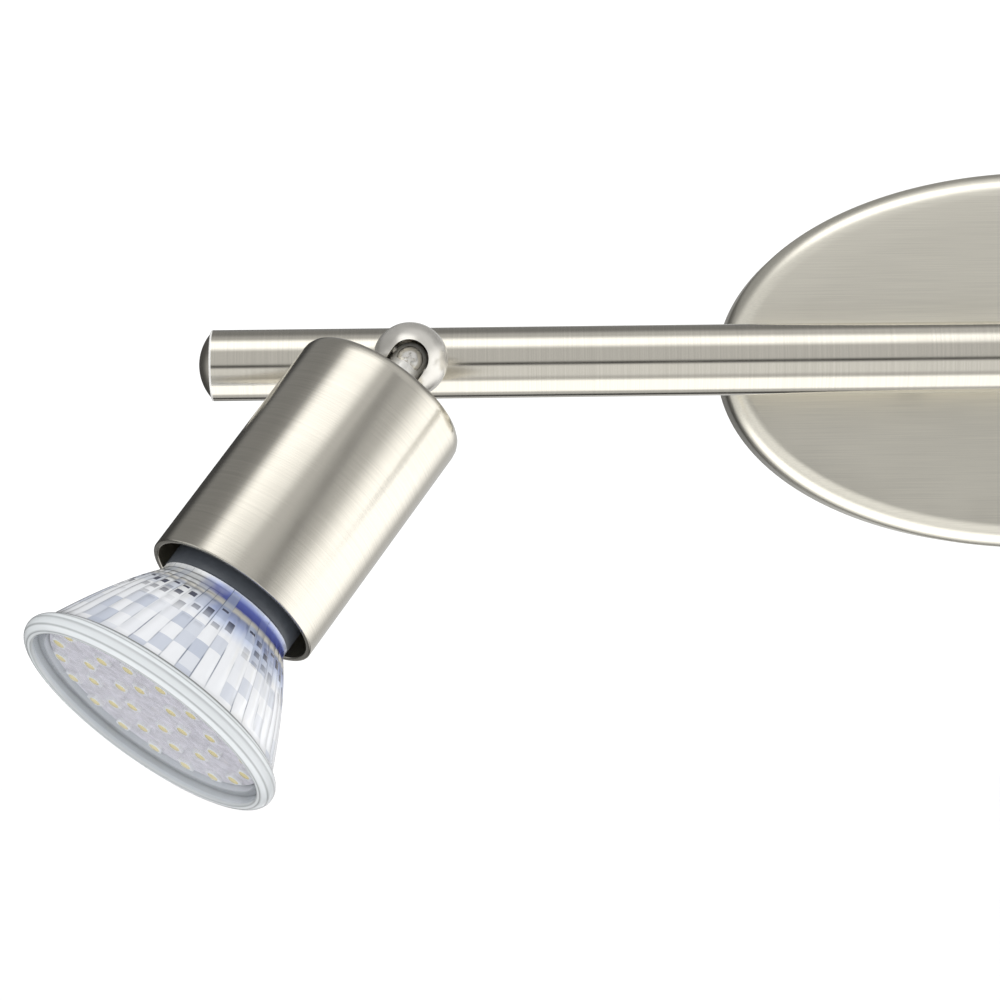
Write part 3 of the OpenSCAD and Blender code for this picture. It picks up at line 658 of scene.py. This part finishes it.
def spacers_and_washers():
    bar_out = -bar_matrix().translation.y / MM
    low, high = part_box("spacer_collars")
    radius, canopy_front = (high.z - low.z) / 2 / MM, -high.y / MM
    stem = high.x / MM - radius
    outline = rounded([(radius, canopy_front, 0.3), (radius, bar_out, 0),
                       (COLLAR_HOLE, bar_out, 0), (COLLAR_HOLE, canopy_front, 0.1)])
    bar_seats("spacer_collars_turned", (-stem * MM, stem * MM), outline, "spacer_collars")
    for side in SIDES:
        low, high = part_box(side + "_saddle_washer")
        radius, face = (high.z - low.z) / 2 / MM, -low.y / MM
        outline = rounded([(radius, face, 0.5), (WASHER_HOLE, face, 0.1),
                           (WASHER_HOLE, bar_out, 0), (radius, bar_out, 0)])
        bar_seats(side + "_saddle_washer_turned", ((low.x + high.x) / 2,), outline,
                  side + "_saddle_washer")


spacers_and_washers()


# ---- canopy ------------------------------------------------------------

OVAL_POWER = 2.06
SHOULDER, SHEET, LIP = 4.5, 1.2, 0.4
LIP_INSET = 0.3  # of the lip's height
OVAL_STEPS, SHOULDER_STEPS, FLAT_STEPS = 192, 12, 6


def oval_point(half_length, half_height, angle):
    def side_of(v):
        return math.copysign(abs(v) ** (2 / OVAL_POWER), v)
    return half_length * side_of(math.cos(angle)), half_height * side_of(math.sin(angle))


def shoulder_curve(inset, front, radius):
    """Points (inset, distance from the wall) of a shoulder, from its side to the flat front."""
    quarter = [math.pi / 2 * k / SHOULDER_STEPS for k in range(SHOULDER_STEPS + 1)]
    return [(inset + radius * (1 - math.cos(a)), front - radius * (1 - math.sin(a)))
            for a in quarter]


def across_flat(inset, out):
    """Rings (inset, distance from the wall, share of its size) down to the flat's middle."""
    return [(inset, out, 1 - k / FLAT_STEPS) for k in range(1, FLAT_STEPS + 1)]


def canopy():
    """Pressed oval shell with a rounded shoulder, open towards the wall."""
    low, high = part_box("canopy")
    half_length, half_height, depth = high.x / MM, high.z / MM, -low.y / MM
    chamfer = LIP * LIP_INSET
    outside = [(chamfer, 0), (0, LIP)] + shoulder_curve(0, depth, SHOULDER)
    inside = [(SHEET - chamfer, 0), (SHEET, LIP)]
    inside += shoulder_curve(SHEET, depth - SHEET, SHOULDER - SHEET)
    bm = bmesh.new()

    def ring(inset, out, share=1.0):
        if share == 0:
            return [bm.verts.new((0, -out * MM, 0))]
        made = []
        for k in range(OVAL_STEPS):
            x, z = oval_point(half_length - inset, half_height - inset, TAU * k / OVAL_STEPS)
            made.append(bm.verts.new((x * share * MM, -out * MM, z * share * MM)))
        return made

    places = across_flat(*inside[-1])[::-1] + inside[::-1] + outside + across_flat(*outside[-1])
    rows = [ring(*place) for place in places]
    for a, b in zip(rows, rows[1:]):
        bridge(bm, a, b, OVAL_STEPS)
    piece = finish_mesh(bm, "canopy_pressed", Matrix.Identity(4), materials["pressed_nickel"])
    attach(piece, "fixture", "satin_nickel", "canopy")


canopy()


# ---- swivels -----------------------------------------------------------


CROSS_TURN = math.radians(28)
CROSS_FLOOR = (0.55, 0.8)  # the recess's floor, as shares of its top along X and Y
CROSS_OVER, CROSS_FLARE = 0.3, 0.3  # the cutter stands out of the screw and widens there


def cross_cutter(matrix, top, depth, length, width):
    """Tapered cross that leaves a screw's recess; sizes in millimetres."""
    bm = bmesh.new()
    outline = cross(length, width)
    low = [(x * CROSS_FLOOR[0], y * CROSS_FLOOR[1]) for x, y in outline]
    high = scaled(outline, 1 + CROSS_OVER * CROSS_FLARE)
    sections = [(low, top - depth), (high, top + CROSS_OVER)]
    stack(bm, sections, Vector((0, 0, 0)), CROSS_TURN, [0])
    return finish_mesh(bm, "cutter", matrix, materials["nickel_screw"])


def cross(length, width):
    arm = [(length, -width), (length, width), (width, width)]
    return [(x * math.cos(t) - y * math.sin(t), x * math.sin(t) + y * math.cos(t))
            for t in (math.pi / 2 * q for q in range(4)) for x, y in arm]


def stack(bm, sections, middle, turn, slots):
    """Lofts closed sections [(points, z)] round a middle, and caps both ends."""
    rows = []
    for points, z in sections:
        rows.append([bm.verts.new((
            (middle.x + x * math.cos(turn) - y * math.sin(turn)) * MM,
            (middle.y + x * math.sin(turn) + y * math.cos(turn)) * MM, z * MM)) for x, y in points])
    for a, b, slot in zip(rows, rows[1:], slots):
        for k in range(len(a)):
            n = (k + 1) % len(a)
            bm.faces.new([a[k], a[n], b[n], b[k]]).material_index = slot
    bm.faces.new(rows[0][::-1]).material_index = slots[0]
    bm.faces.new(rows[-1]).material_index = slots[-1]


SLOT_HALF, SLOT_LIMIT, SLOT_END = 3.4, math.radians(69), 3.2
POCKET_RADIUS, GROOVE_RADIUS, GROOVE_HALF = 3.6, 4.2, 2.6
MOUTH_START = 1.2  # from the ball's middle
BALL_NECK, SPIGOT = 4.4, 3.0  # radii
FOOT_SHARE, FOOT_THICKNESS = 0.864, 2.0  # its radius as a share of the ball's, and its height
BALL_STEPS, NECK_SKIP = 56, 1.5  # the ball's outline stops some degrees before its neck
NECK_SINK = 0.3
GAP = 0.02  # between pieces that touch


def rod(matrix, radius, start, end):
    outline = [(0, start), (radius, start), (radius, end), (0, end)]
    return lathe("cutter", outline, matrix, materials["dark_nickel"], steps=SMALL_ROUND,
                 closed=False)


def slot_wedge(matrix, reach, down):
    """Prism that the knuckle sweeps, from straight out to its lowest tilt."""
    half = SLOT_LIMIT / 2
    beyond = (-SLOT_END * math.sin(SLOT_LIMIT), SLOT_END * math.cos(SLOT_LIMIT))
    lowest = (reach * math.cos(SLOT_LIMIT) + beyond[0], reach * math.sin(SLOT_LIMIT) + beyond[1])
    points = [(0, 0), (reach, 0), (reach * math.cos(half), reach * math.sin(half)), lowest, beyond]
    bm = bmesh.new()
    ends = [[bm.verts.new((x * MM, v * down * MM, u * MM)) for u, v in points]
            for x in (-SLOT_HALF, SLOT_HALF)]
    bridge(bm, *ends, len(points))
    for end in ends:
        bm.faces.new(end)
    return finish_mesh(bm, "cutter", matrix, materials["dark_nickel"])


def swivel_ball(side):
    """Slotted ball on a neck, with a foot on the bar's washer and a spigot into the bar."""
    matrix = swivel_matrix(side)
    radius, low, _ = extent(side + "_swivel_ball", matrix)
    foot = extent(side + "_saddle_washer", matrix)[2] + GAP
    foot_r, foot_top = radius * FOOT_SHARE, foot + FOOT_THICKNESS
    below = -math.degrees(math.acos(BALL_NECK / radius))
    neck_top = radius * math.sin(math.radians(below)) - NECK_SINK
    outline = arc(0, 0, radius, 90, below + NECK_SKIP, BALL_STEPS) + rounded([
        (BALL_NECK, neck_top, 0), (BALL_NECK, foot_top, 0.4), (foot_r, foot_top, 0.35),
        (foot_r, foot, 0.2), (SPIGOT, foot, 0), (SPIGOT, low, 0.3), (0, low, 0)])
    piece = lathe(side + "_swivel_ball_turned", outline, matrix,
                  [materials["cast_nickel"], materials["dark_nickel"]], closed=False)
    along_slot = matrix.inverted().to_3x3() @ spot_matrix(side).to_3x3().col[2]
    sideways = matrix @ Matrix.Rotation(math.pi / 2, 4, "Y")
    for cutter in (rod(matrix, SLOT_HALF, MOUTH_START, 2 * radius),
                   slot_wedge(matrix, 2 * radius, math.copysign(1, along_slot.y)),
                   rod(sideways, POCKET_RADIUS, -SLOT_HALF, SLOT_HALF),
                   rod(sideways, GROOVE_RADIUS, -GROOVE_HALF, GROOVE_HALF)):
        carve(piece, cutter)
    attach(piece, side + "_swivel", "satin_nickel", side + "_swivel_ball")


KNUCKLE_BORE, KNUCKLE_NECK = 1.6, 2.5  # radii
KNUCKLE_STEPS = 16
COLLAR_ROOT, COLLAR_START = 1.4, 1  # behind the shade
PLAIN_LENGTH = 6.5  # from the pivot; the collar starts past it


def cad_knuckle_radius(side, matrix):
    """Radius of the knuckle between its pivot and its collar."""
    inverse = matrix.inverted()
    points = [inverse @ v.co / MM for v in frame["nodes"][side + "_knuckle"].data.vertices]
    return max(math.hypot(p.x, p.y) for p in points if p.z < PLAIN_LENGTH)


def knuckle(side):
    """Round-ended tongue with a collar and a threaded neck, bored for the leads."""
    matrix = spot_matrix(side)
    collar_r, _, neck_end = extent(side + "_knuckle", matrix)
    shade_rear = extent(side + "_shade", matrix)[1]
    collar_front = shade_rear - GAP
    body_r = cad_knuckle_radius(side, matrix)
    start = math.degrees(math.acos(KNUCKLE_BORE / body_r))
    ball_end = arc(0, 0, body_r, -start, 0, KNUCKLE_STEPS)
    outline = ball_end + rounded([
        (body_r, shade_rear - COLLAR_ROOT, 0.3), (collar_r, shade_rear - COLLAR_START, 0.25),
        (collar_r, collar_front, 0.15), (KNUCKLE_NECK, collar_front, 0),
        (KNUCKLE_NECK, neck_end, 0.3), (KNUCKLE_BORE, neck_end, 0.1)])
    outline.append((KNUCKLE_BORE, ball_end[0][1]))
    # The knuckle gets the pale finish: painted light against the shade of its slot.
    piece = lathe(side + "_knuckle_turned", outline, matrix, materials["pale_highlight_nickel"],
                  steps=SMALL_ROUND)
    attach(piece, side + "_head", "satin_nickel", side + "_knuckle")


SHANK_RADIUS, SCREW_SEAT, SCREW_RIM, SCREW_CHAMFER = 1.0, 2.32, 0.35, 0.1
SCREW_STEPS = 10
RECESS_DEPTH, RECESS_REACH, RECESS_HALF = 0.55, 1.25, 0.24


def grip_screw(side):
    """Pan-head screw with a cross recess; it faces straight out at rest."""
    matrix = swivel_matrix(side)
    radius, low, high = extent(side + "_grip_screw", matrix)
    rim = SCREW_SEAT + SCREW_RIM
    quarter = [math.pi / 2 * k / SCREW_STEPS for k in range(SCREW_STEPS + 1)]
    head = [(radius * math.cos(a), rim + (high - rim) * math.sin(a)) for a in quarter]
    outline = [(0, low), (SHANK_RADIUS, low), (SHANK_RADIUS, SCREW_SEAT),
               (radius - SCREW_CHAMFER, SCREW_SEAT), (radius, SCREW_SEAT + SCREW_CHAMFER)] + head
    piece = lathe(side + "_grip_screw_turned", outline, matrix, materials["nickel_screw"],
                  steps=SMALL_ROUND, closed=False)
    carve(piece, cross_cutter(matrix, high, RECESS_DEPTH, RECESS_REACH, RECESS_HALF))
    attach(piece, side + "_head", "nickel_screw", side + "_grip_screw")


for side in SIDES:
    swivel_ball(side)
    knuckle(side)
    grip_screw(side)


# ---- spots -------------------------------------------------------------


SHADE_WALL, SHADE_FLOOR, NECK_HOLE = 1.0, 1.2, 2.55
REAR_FILLET, LIP_FILLET, FLOOR_FILLET = 2.6, 0.25, 0.8
BRIGHT_LIP = 0.3  # the inside keeps the outside's finish this far from the front
FACES_IN = -1e-6  # a face's normal along its radius is below this


def shade(side):
    """Turned cylinder, open at the lamp, with a rounded rear edge and a dark inside."""
    matrix = spot_matrix(side)
    radius, rear, front = extent(side + "_shade", matrix)
    inner, floor_top = radius - SHADE_WALL, rear + SHADE_FLOOR
    outline = rounded([
        (radius, rear, REAR_FILLET), (radius, front, LIP_FILLET), (inner, front, LIP_FILLET),
        (inner, floor_top, FLOOR_FILLET), (NECK_HOLE, floor_top, 0), (NECK_HOLE, rear, 0)])
    piece = lathe(side + "_shade_turned", outline, matrix,
                  [materials["brushed_nickel"], materials["shade_inside"]])
    paint(piece, 1, lambda c, n: (n.x * c.x + n.y * c.y < FACES_IN
                                  and c.z / MM < front - BRIGHT_LIP))
    attach(piece, side + "_head", "brushed_nickel", side + "_shade")


for side in SIDES:
    shade(side)


# ---- lamps -------------------------------------------------------------

BOWL_START, BOWL_RADIUS, BOWL_RATE = 60.0, 14.0, 20.0  # a paraboloid past the neck
NECK_RADIUS = 12.6
BOWL_WALL = 1.6
FLUTES_FROM, FLUTES_TO = 58.5, 76.5  # along the spot
FLUTES_GROW, FLUTES_FADE = 2.5, 1.5  # lengths over which they rise and end
OUTER_RELIEF, INNER_RELIEF = 0.28, 0.45
ROW_PITCH, ROW_DEPTH = 4.4, 0.3
STEPS_PER_FLUTE = 8
BEAD_RADIUS, BEAD_FROM, BEAD_TO, BEAD_STEPS = 1.9, -62, 96, 20
SEAT_RADIUS, SEAT_DEPTH, RIM_DEPTH = 22.6, 2.1, 4.2  # depths from the front
SEAT_CHAMFER, SEAT_EDGE = 0.12, 0.3


def bowl(z):
    return max(NECK_RADIUS, math.sqrt(BOWL_RADIUS ** 2 + BOWL_RATE * (z - BOWL_START)))


def bowl_points(start, end, inset, steps=26):
    heights = [start + (end - start) * k / steps for k in range(steps + 1)]
    return [(bowl(z) - inset, z) for z in heights]


def fluted(radius, z, angle):
    """Flutes on both faces of the bowl; those on its inner face are broken into rows."""
    grown = (min(1.0, max(0.0, (z - FLUTES_FROM) / FLUTES_GROW))
             * min(1.0, max(0.0, (FLUTES_TO - z) / FLUTES_FADE)))
    rib = abs(math.sin(FLUTES / 2 * angle))
    if radius > bowl(z) - BOWL_WALL / 2:
        return radius - OUTER_RELIEF * grown * (1 - rib)
    row = 0.5 + 0.5 * math.cos(TAU * z / ROW_PITCH)
    return radius + INNER_RELIEF * grown * rib * (1 - ROW_DEPTH + ROW_DEPTH * row)


def lamp_glass(side):
    """Fluted bowl with a solid rim, whose bead stands round the cover's seat."""
    matrix = spot_matrix(side)
    radius, rear, front = extent(side + "_reflector", matrix)
    seat_z, bowl_front = front - SEAT_DEPTH, front - RIM_DEPTH
    outside = bowl_points(rear, bowl_front, 0)
    bead = arc(radius - BEAD_RADIUS, front - BEAD_RADIUS, BEAD_RADIUS, BEAD_FROM, BEAD_TO,
               BEAD_STEPS)
    band = [(SEAT_RADIUS + SEAT_CHAMFER, front - SEAT_CHAMFER), (SEAT_RADIUS, front - SEAT_EDGE)]
    seat = [(SEAT_RADIUS, seat_z), (bowl(bowl_front) - BOWL_WALL, seat_z)]
    inside = bowl_points(rear, bowl_front, BOWL_WALL)[::-1]
    outline = outside + bead + band + seat + inside
    piece = lathe(side + "_reflector_glass", outline, matrix,
                  [materials["fluted_glass"], materials["rim_glass"]],
                  steps=FLUTES * STEPS_PER_FLUTE, shape=fluted)
    paint(piece, 1, lambda c, n: c.z / MM > bowl_front - 0.01)
    attach(piece, side + "_lamp", "fluted_glass", side + "_reflector")


BLOCK_RADIUS, BLOCK_HALF, BLOCK_STEPS = 11.5, 8.0, 72
BLOCK_END, CONE_END = 42.0, 46.0  # along the spot
BASE_CHAMFER = 0.25


def lamp_base(side):
    """Flat-sided block for the holder, then a cone and a round front that the glass sits on."""
    matrix = spot_matrix(side)
    radius, rear, front = extent(side + "_lamp_base", matrix)
    section = [(x, max(-BLOCK_HALF, min(BLOCK_HALF, y)))
               for x, y in circle(BLOCK_RADIUS, BLOCK_STEPS)]
    bm = bmesh.new()
    stack(bm, [(scaled(section, 0.96), rear), (section, rear + 0.4), (section, BLOCK_END)],
          Vector((0, 0, 0)), 0, [0, 0])
    revolve(bm, [(0, BLOCK_END - 0.1), (BLOCK_RADIUS - 0.3, BLOCK_END - 0.1),
                 (BLOCK_RADIUS, BLOCK_END + 0.2), (radius, CONE_END),
                 (radius, front - BASE_CHAMFER), (radius - BASE_CHAMFER, front), (0, front)],
            closed=False)
    piece = finish_mesh(bm, side + "_lamp_base_moulded", matrix, materials["slate_plastic"])
    attach(piece, side + "_lamp", "slate_plastic", side + "_lamp_base")


COVER_STEPS, COVER_RISE = 12, 0.5


def cover_glass(side):
    """Thin disc with a slightly domed front."""
    matrix = spot_matrix(side)
    radius, rear, front = extent(side + "_cover_glass", matrix)
    shares = [1 - k / COVER_STEPS for k in range(COVER_STEPS + 1)]
    dome = [(radius * share, front - COVER_RISE * share ** 2) for share in shares]
    outline = [(0, rear), (radius, rear)] + dome
    piece = lathe(side + "_cover_glass_disc", outline, matrix, materials["cover_glass"],
                  closed=False)
    attach(piece, side + "_lamp", "clear_glass", side + "_cover_glass")


def solids(node, matrix):
    """The middle of each separate solid in a CAD node, in millimetres in that matrix's frame."""
    bm = bmesh.new()
    bm.from_mesh(frame["nodes"][node].data)
    bmesh.ops.remove_doubles(bm, verts=bm.verts, dist=1e-6)
    inverse = matrix.inverted()
    left, middles = set(bm.verts), []
    while left:
        group, edge = [], [left.pop()]
        while edge:
            vertex = edge.pop()
            group.append(vertex)
            for link in vertex.link_edges:
                other = link.other_vert(vertex)
                if other in left:
                    left.remove(other)
                    edge.append(other)
        middles.append(inverse @ (sum((v.co for v in group), Vector()) / len(group)) / MM)
    bm.free()
    return sorted(middles, key=lambda p: (round(math.hypot(p.x, p.y), 2),
                                          round(math.atan2(p.y, p.x), 3)))


def rounded_square(half, corner, steps=4):
    points = []
    middle = half - corner
    for quarter in range(4):
        cos, sin = math.cos(math.pi / 2 * quarter), math.sin(math.pi / 2 * quarter)
        for k in range(steps + 1):
            a = math.pi / 2 * k / steps
            x, y = middle + corner * math.cos(a), middle + corner * math.sin(a)
            points.append((x * cos - y * sin, x * sin + y * cos))
    return points


BOARD_CHAMFER = 0.15


def led_board(side):
    matrix = spot_matrix(side)
    radius, rear, front = extent(side + "_led_board", matrix)
    edge = radius - BOARD_CHAMFER
    outline = [(0, rear), (edge, rear), (radius, rear + BOARD_CHAMFER),
               (radius, front - BOARD_CHAMFER), (edge, front), (radius * 0.5, front), (0, front)]
    piece = lathe(side + "_led_board_routed", outline, matrix, materials["led_plate"],
                  steps=SMALL_ROUND, closed=False)
    attach(piece, side + "_lamp", "led_plate", side + "_led_board")


COLLAR_GAP, COLLAR_WALL = 0.05, 1.0  # between the glass and the cement, and its thickness


def collar(side):
    """Ring of cement between the lamp's base and its glass."""
    matrix = spot_matrix(side)
    _, rear, front = extent(side + "_lamp_collar", matrix)
    inset = BOWL_WALL + COLLAR_GAP
    outer = bowl_points(rear, front, inset, steps=12)
    inner = bowl_points(rear, front, inset + COLLAR_WALL, steps=12)[::-1]
    piece = lathe(side + "_lamp_collar_cast", outer + inner, matrix, materials["ceramic"],
                  steps=SMALL_ROUND)
    attach(piece, side + "_lamp", "ceramic", side + "_lamp_collar")


PACKAGE_HALF, PACKAGE_CORNER, PACKAGE_HEIGHT = 1.3, 0.3, 0.6
PACKAGE_TOP, PACKAGE_CHAMFER = 0.93, 0.06  # its top as a share of its side, and the bevel's height
PHOSPHOR_RADIUS, PHOSPHOR_RISE, PHOSPHOR_STEPS = 1.05, 0.28, 6


def light_sources(side):
    """White packages, each with a low yellow dome of phosphor."""
    matrix = spot_matrix(side)
    board_top = extent(side + "_led_board", matrix)[2]
    package_top = board_top + PACKAGE_HEIGHT
    body = rounded_square(PACKAGE_HALF, PACKAGE_CORNER)
    package = [(body, board_top), (body, package_top),
               (scaled(body, PACKAGE_TOP), package_top + PACKAGE_CHAMFER)]
    quarter = [math.pi / 2 * k / PHOSPHOR_STEPS for k in range(PHOSPHOR_STEPS)]
    dome = [(circle(PHOSPHOR_RADIUS * math.cos(a)), package_top + PHOSPHOR_RISE * math.sin(a))
            for a in quarter]
    bm = bmesh.new()
    for middle in solids(side + "_leds", matrix):
        stack(bm, package, middle, math.atan2(middle.y, middle.x), [0, 0])
        stack(bm, dome, middle, 0, [1] * len(dome))
    piece = finish_mesh(bm, side + "_leds_moulded", matrix,
                        [materials["led_package"], materials["led_phosphor"]])
    attach(piece, side + "_lamp", "led_phosphor", side + "_leds")


for side in SIDES:
    lamp_base(side)
    lamp_glass(side)
    cover_glass(side)
    collar(side)
    led_board(side)
    light_sources(side)


# ---- stage, light and camera -------------------------------------------


# Softboxes and dark gaps of the room, as metal sees them. Azimuth 0 is in front and 90 to the
# right, in degrees; half sizes and softness are tangents of angles.
PANELS = [
    # azimuth, elevation, half width, half height, softness, brightness
    (180, 45, 2.2, 0.45, 0.25, 0.20),
    (-125, 42, 0.95, 0.62, 0.48, 0.24),
    (175, -41, 1.2, 0.14, 0.08, 0.06),
    (0, -30, 1.4, 0.34, 0.10, 0.88),
    (-20, 66, 0.39, 0.28, 0.16, 1.75),
    (97, -12, 0.75, 0.60, 0.44, 1.7),
    (0, -88, 1.6, 0.46, 0.12, 1.65),
    (-145, 0, 0.60, 0.50, 0.15, 0.05),
    (-74, 0, 0.25, 0.40, 0.15, 0.8),
    (36, 22, 0.06, 0.42, 0.035, 0.0),
    (0, -6, 0.7, 0.06, 0.10, 0.05),
]
FRONT_BRIGHTNESS = 0.62
AMBIENT = 1.12  # what everything but a reflection sees
NEARLY_ZERO = 1e-4


def direction_of(azimuth, elevation):
    a, e = math.radians(azimuth), math.radians(elevation)
    return Vector((math.sin(a) * math.cos(e), -math.cos(a) * math.cos(e), math.sin(e)))


class Sky(Tree):
    """Nodes of the world, with the room's panels laid over an even tone."""

    def __init__(self, tree):
        super().__init__(tree)
        self.nodes.clear()
        self.view = self.node("TexCoord").outputs["Generated"]

    def along(self, vector):
        made = self.node("VectorMath", operation="DOT_PRODUCT")
        self.feed(made.inputs[0], self.view)
        self.feed(made.inputs[1], vector)
        return made.outputs["Value"]

    def within(self, value, half, softness):
        """1 within half of zero and 0 outside, with a soft edge."""
        return self.between(self.math("ABSOLUTE", value), half + softness,
                            max(0.0, half - softness), interpolation_type="SMOOTHSTEP")

    def panel(self, tone, azimuth, elevation, half_width, half_height, softness, brightness):
        """Lays one softbox over the tone."""
        forward = direction_of(azimuth, elevation)
        across = direction_of(azimuth + 90, 0)
        upright = across.cross(forward)
        facing = self.along(forward)
        depth = self.math("MAXIMUM", facing, NEARLY_ZERO)
        mask = self.math(
            "MULTIPLY",
            self.within(self.math("DIVIDE", self.along(across), depth), half_width, softness),
            self.within(self.math("DIVIDE", self.along(upright), depth), half_height, softness))
        mask = self.math("MULTIPLY", mask, self.math("GREATER_THAN", facing, 0.0))
        rest = self.math("MULTIPLY", tone, self.math("SUBTRACT", 1.0, mask))
        return self.math("ADD", rest, self.math("MULTIPLY", mask, brightness))

    def background(self, strength):
        made = self.node("Background", Color=(1, 1, 1, 1))
        self.feed(made.inputs["Strength"], strength)
        return made.outputs["Background"]


def world():
    """White all round, and a room of softboxes in the reflections."""
    made = bpy.data.worlds.new("studio")
    bpy.context.scene.world = made
    made.use_nodes = True
    sky = Sky(made.node_tree)
    tone = FRONT_BRIGHTNESS
    for panel in PANELS:
        tone = sky.panel(tone, *panel)
    path = sky.node("LightPath")
    reflected = sky.math("MULTIPLY", path.outputs["Is Glossy Ray"],
                         sky.math("SUBTRACT", 1.0, path.outputs["Is Transmission Ray"]))
    mix = sky.node("MixShader")
    sky.links.new(reflected, mix.inputs["Fac"])
    sky.links.new(sky.background(AMBIENT), mix.inputs[1])
    sky.links.new(sky.background(tone), mix.inputs[2])
    output = sky.node("OutputWorld")
    sky.links.new(mix.outputs["Shader"], output.inputs["Surface"])


FLOOR_RADIUS = 4000  # in millimetres
FLOOR_DROP = 0.35  # in metres, below the fixture


def floor():
    """A pale disc well below the fixture. Metal reflects the softboxes and not this disc."""
    low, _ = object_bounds()
    s = Shader("floor", Roughness=0.9)
    s.tones(s.noise(3.0), (0.93, 0.93, 0.93), (0.95, 0.95, 0.95))
    place = Matrix.Translation((0, 0, low[2] - FLOOR_DROP))
    made = lathe("floor", [(0, 0), (FLOOR_RADIUS, 0)], place, s.material, steps=64, closed=False)
    made.visible_glossy = False
    made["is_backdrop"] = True


# The camera that was fitted to the photo's outlines; angles in radians.
YAW, PITCH, ROLL = -0.01051, -0.0069, -0.01124
CAMERA_PLACE = Vector((-94.86, -650.0, -20.56)) * MM
FOCAL_LENGTH, SENSOR_WIDTH = 122.3, 36


def camera():
    forward = Vector((math.sin(YAW) * math.cos(PITCH), math.cos(YAW) * math.cos(PITCH),
                      math.sin(PITCH)))
    level = Vector((math.cos(YAW), -math.sin(YAW), 0))
    above = level.cross(forward)
    right = math.cos(ROLL) * level + math.sin(ROLL) * above
    up = -math.sin(ROLL) * level + math.cos(ROLL) * above
    lens = bpy.data.cameras.new("camera")
    lens.sensor_width = SENSOR_WIDTH
    lens.lens = FOCAL_LENGTH
    made = bpy.data.objects.new("camera", lens)
    bpy.context.scene.collection.objects.link(made)
    made.matrix_world = axes_matrix(right, up, -forward, CAMERA_PLACE)
    bpy.context.scene.camera = made


world()
floor()
camera()
bpy.context.scene.view_settings.view_transform = "Standard"
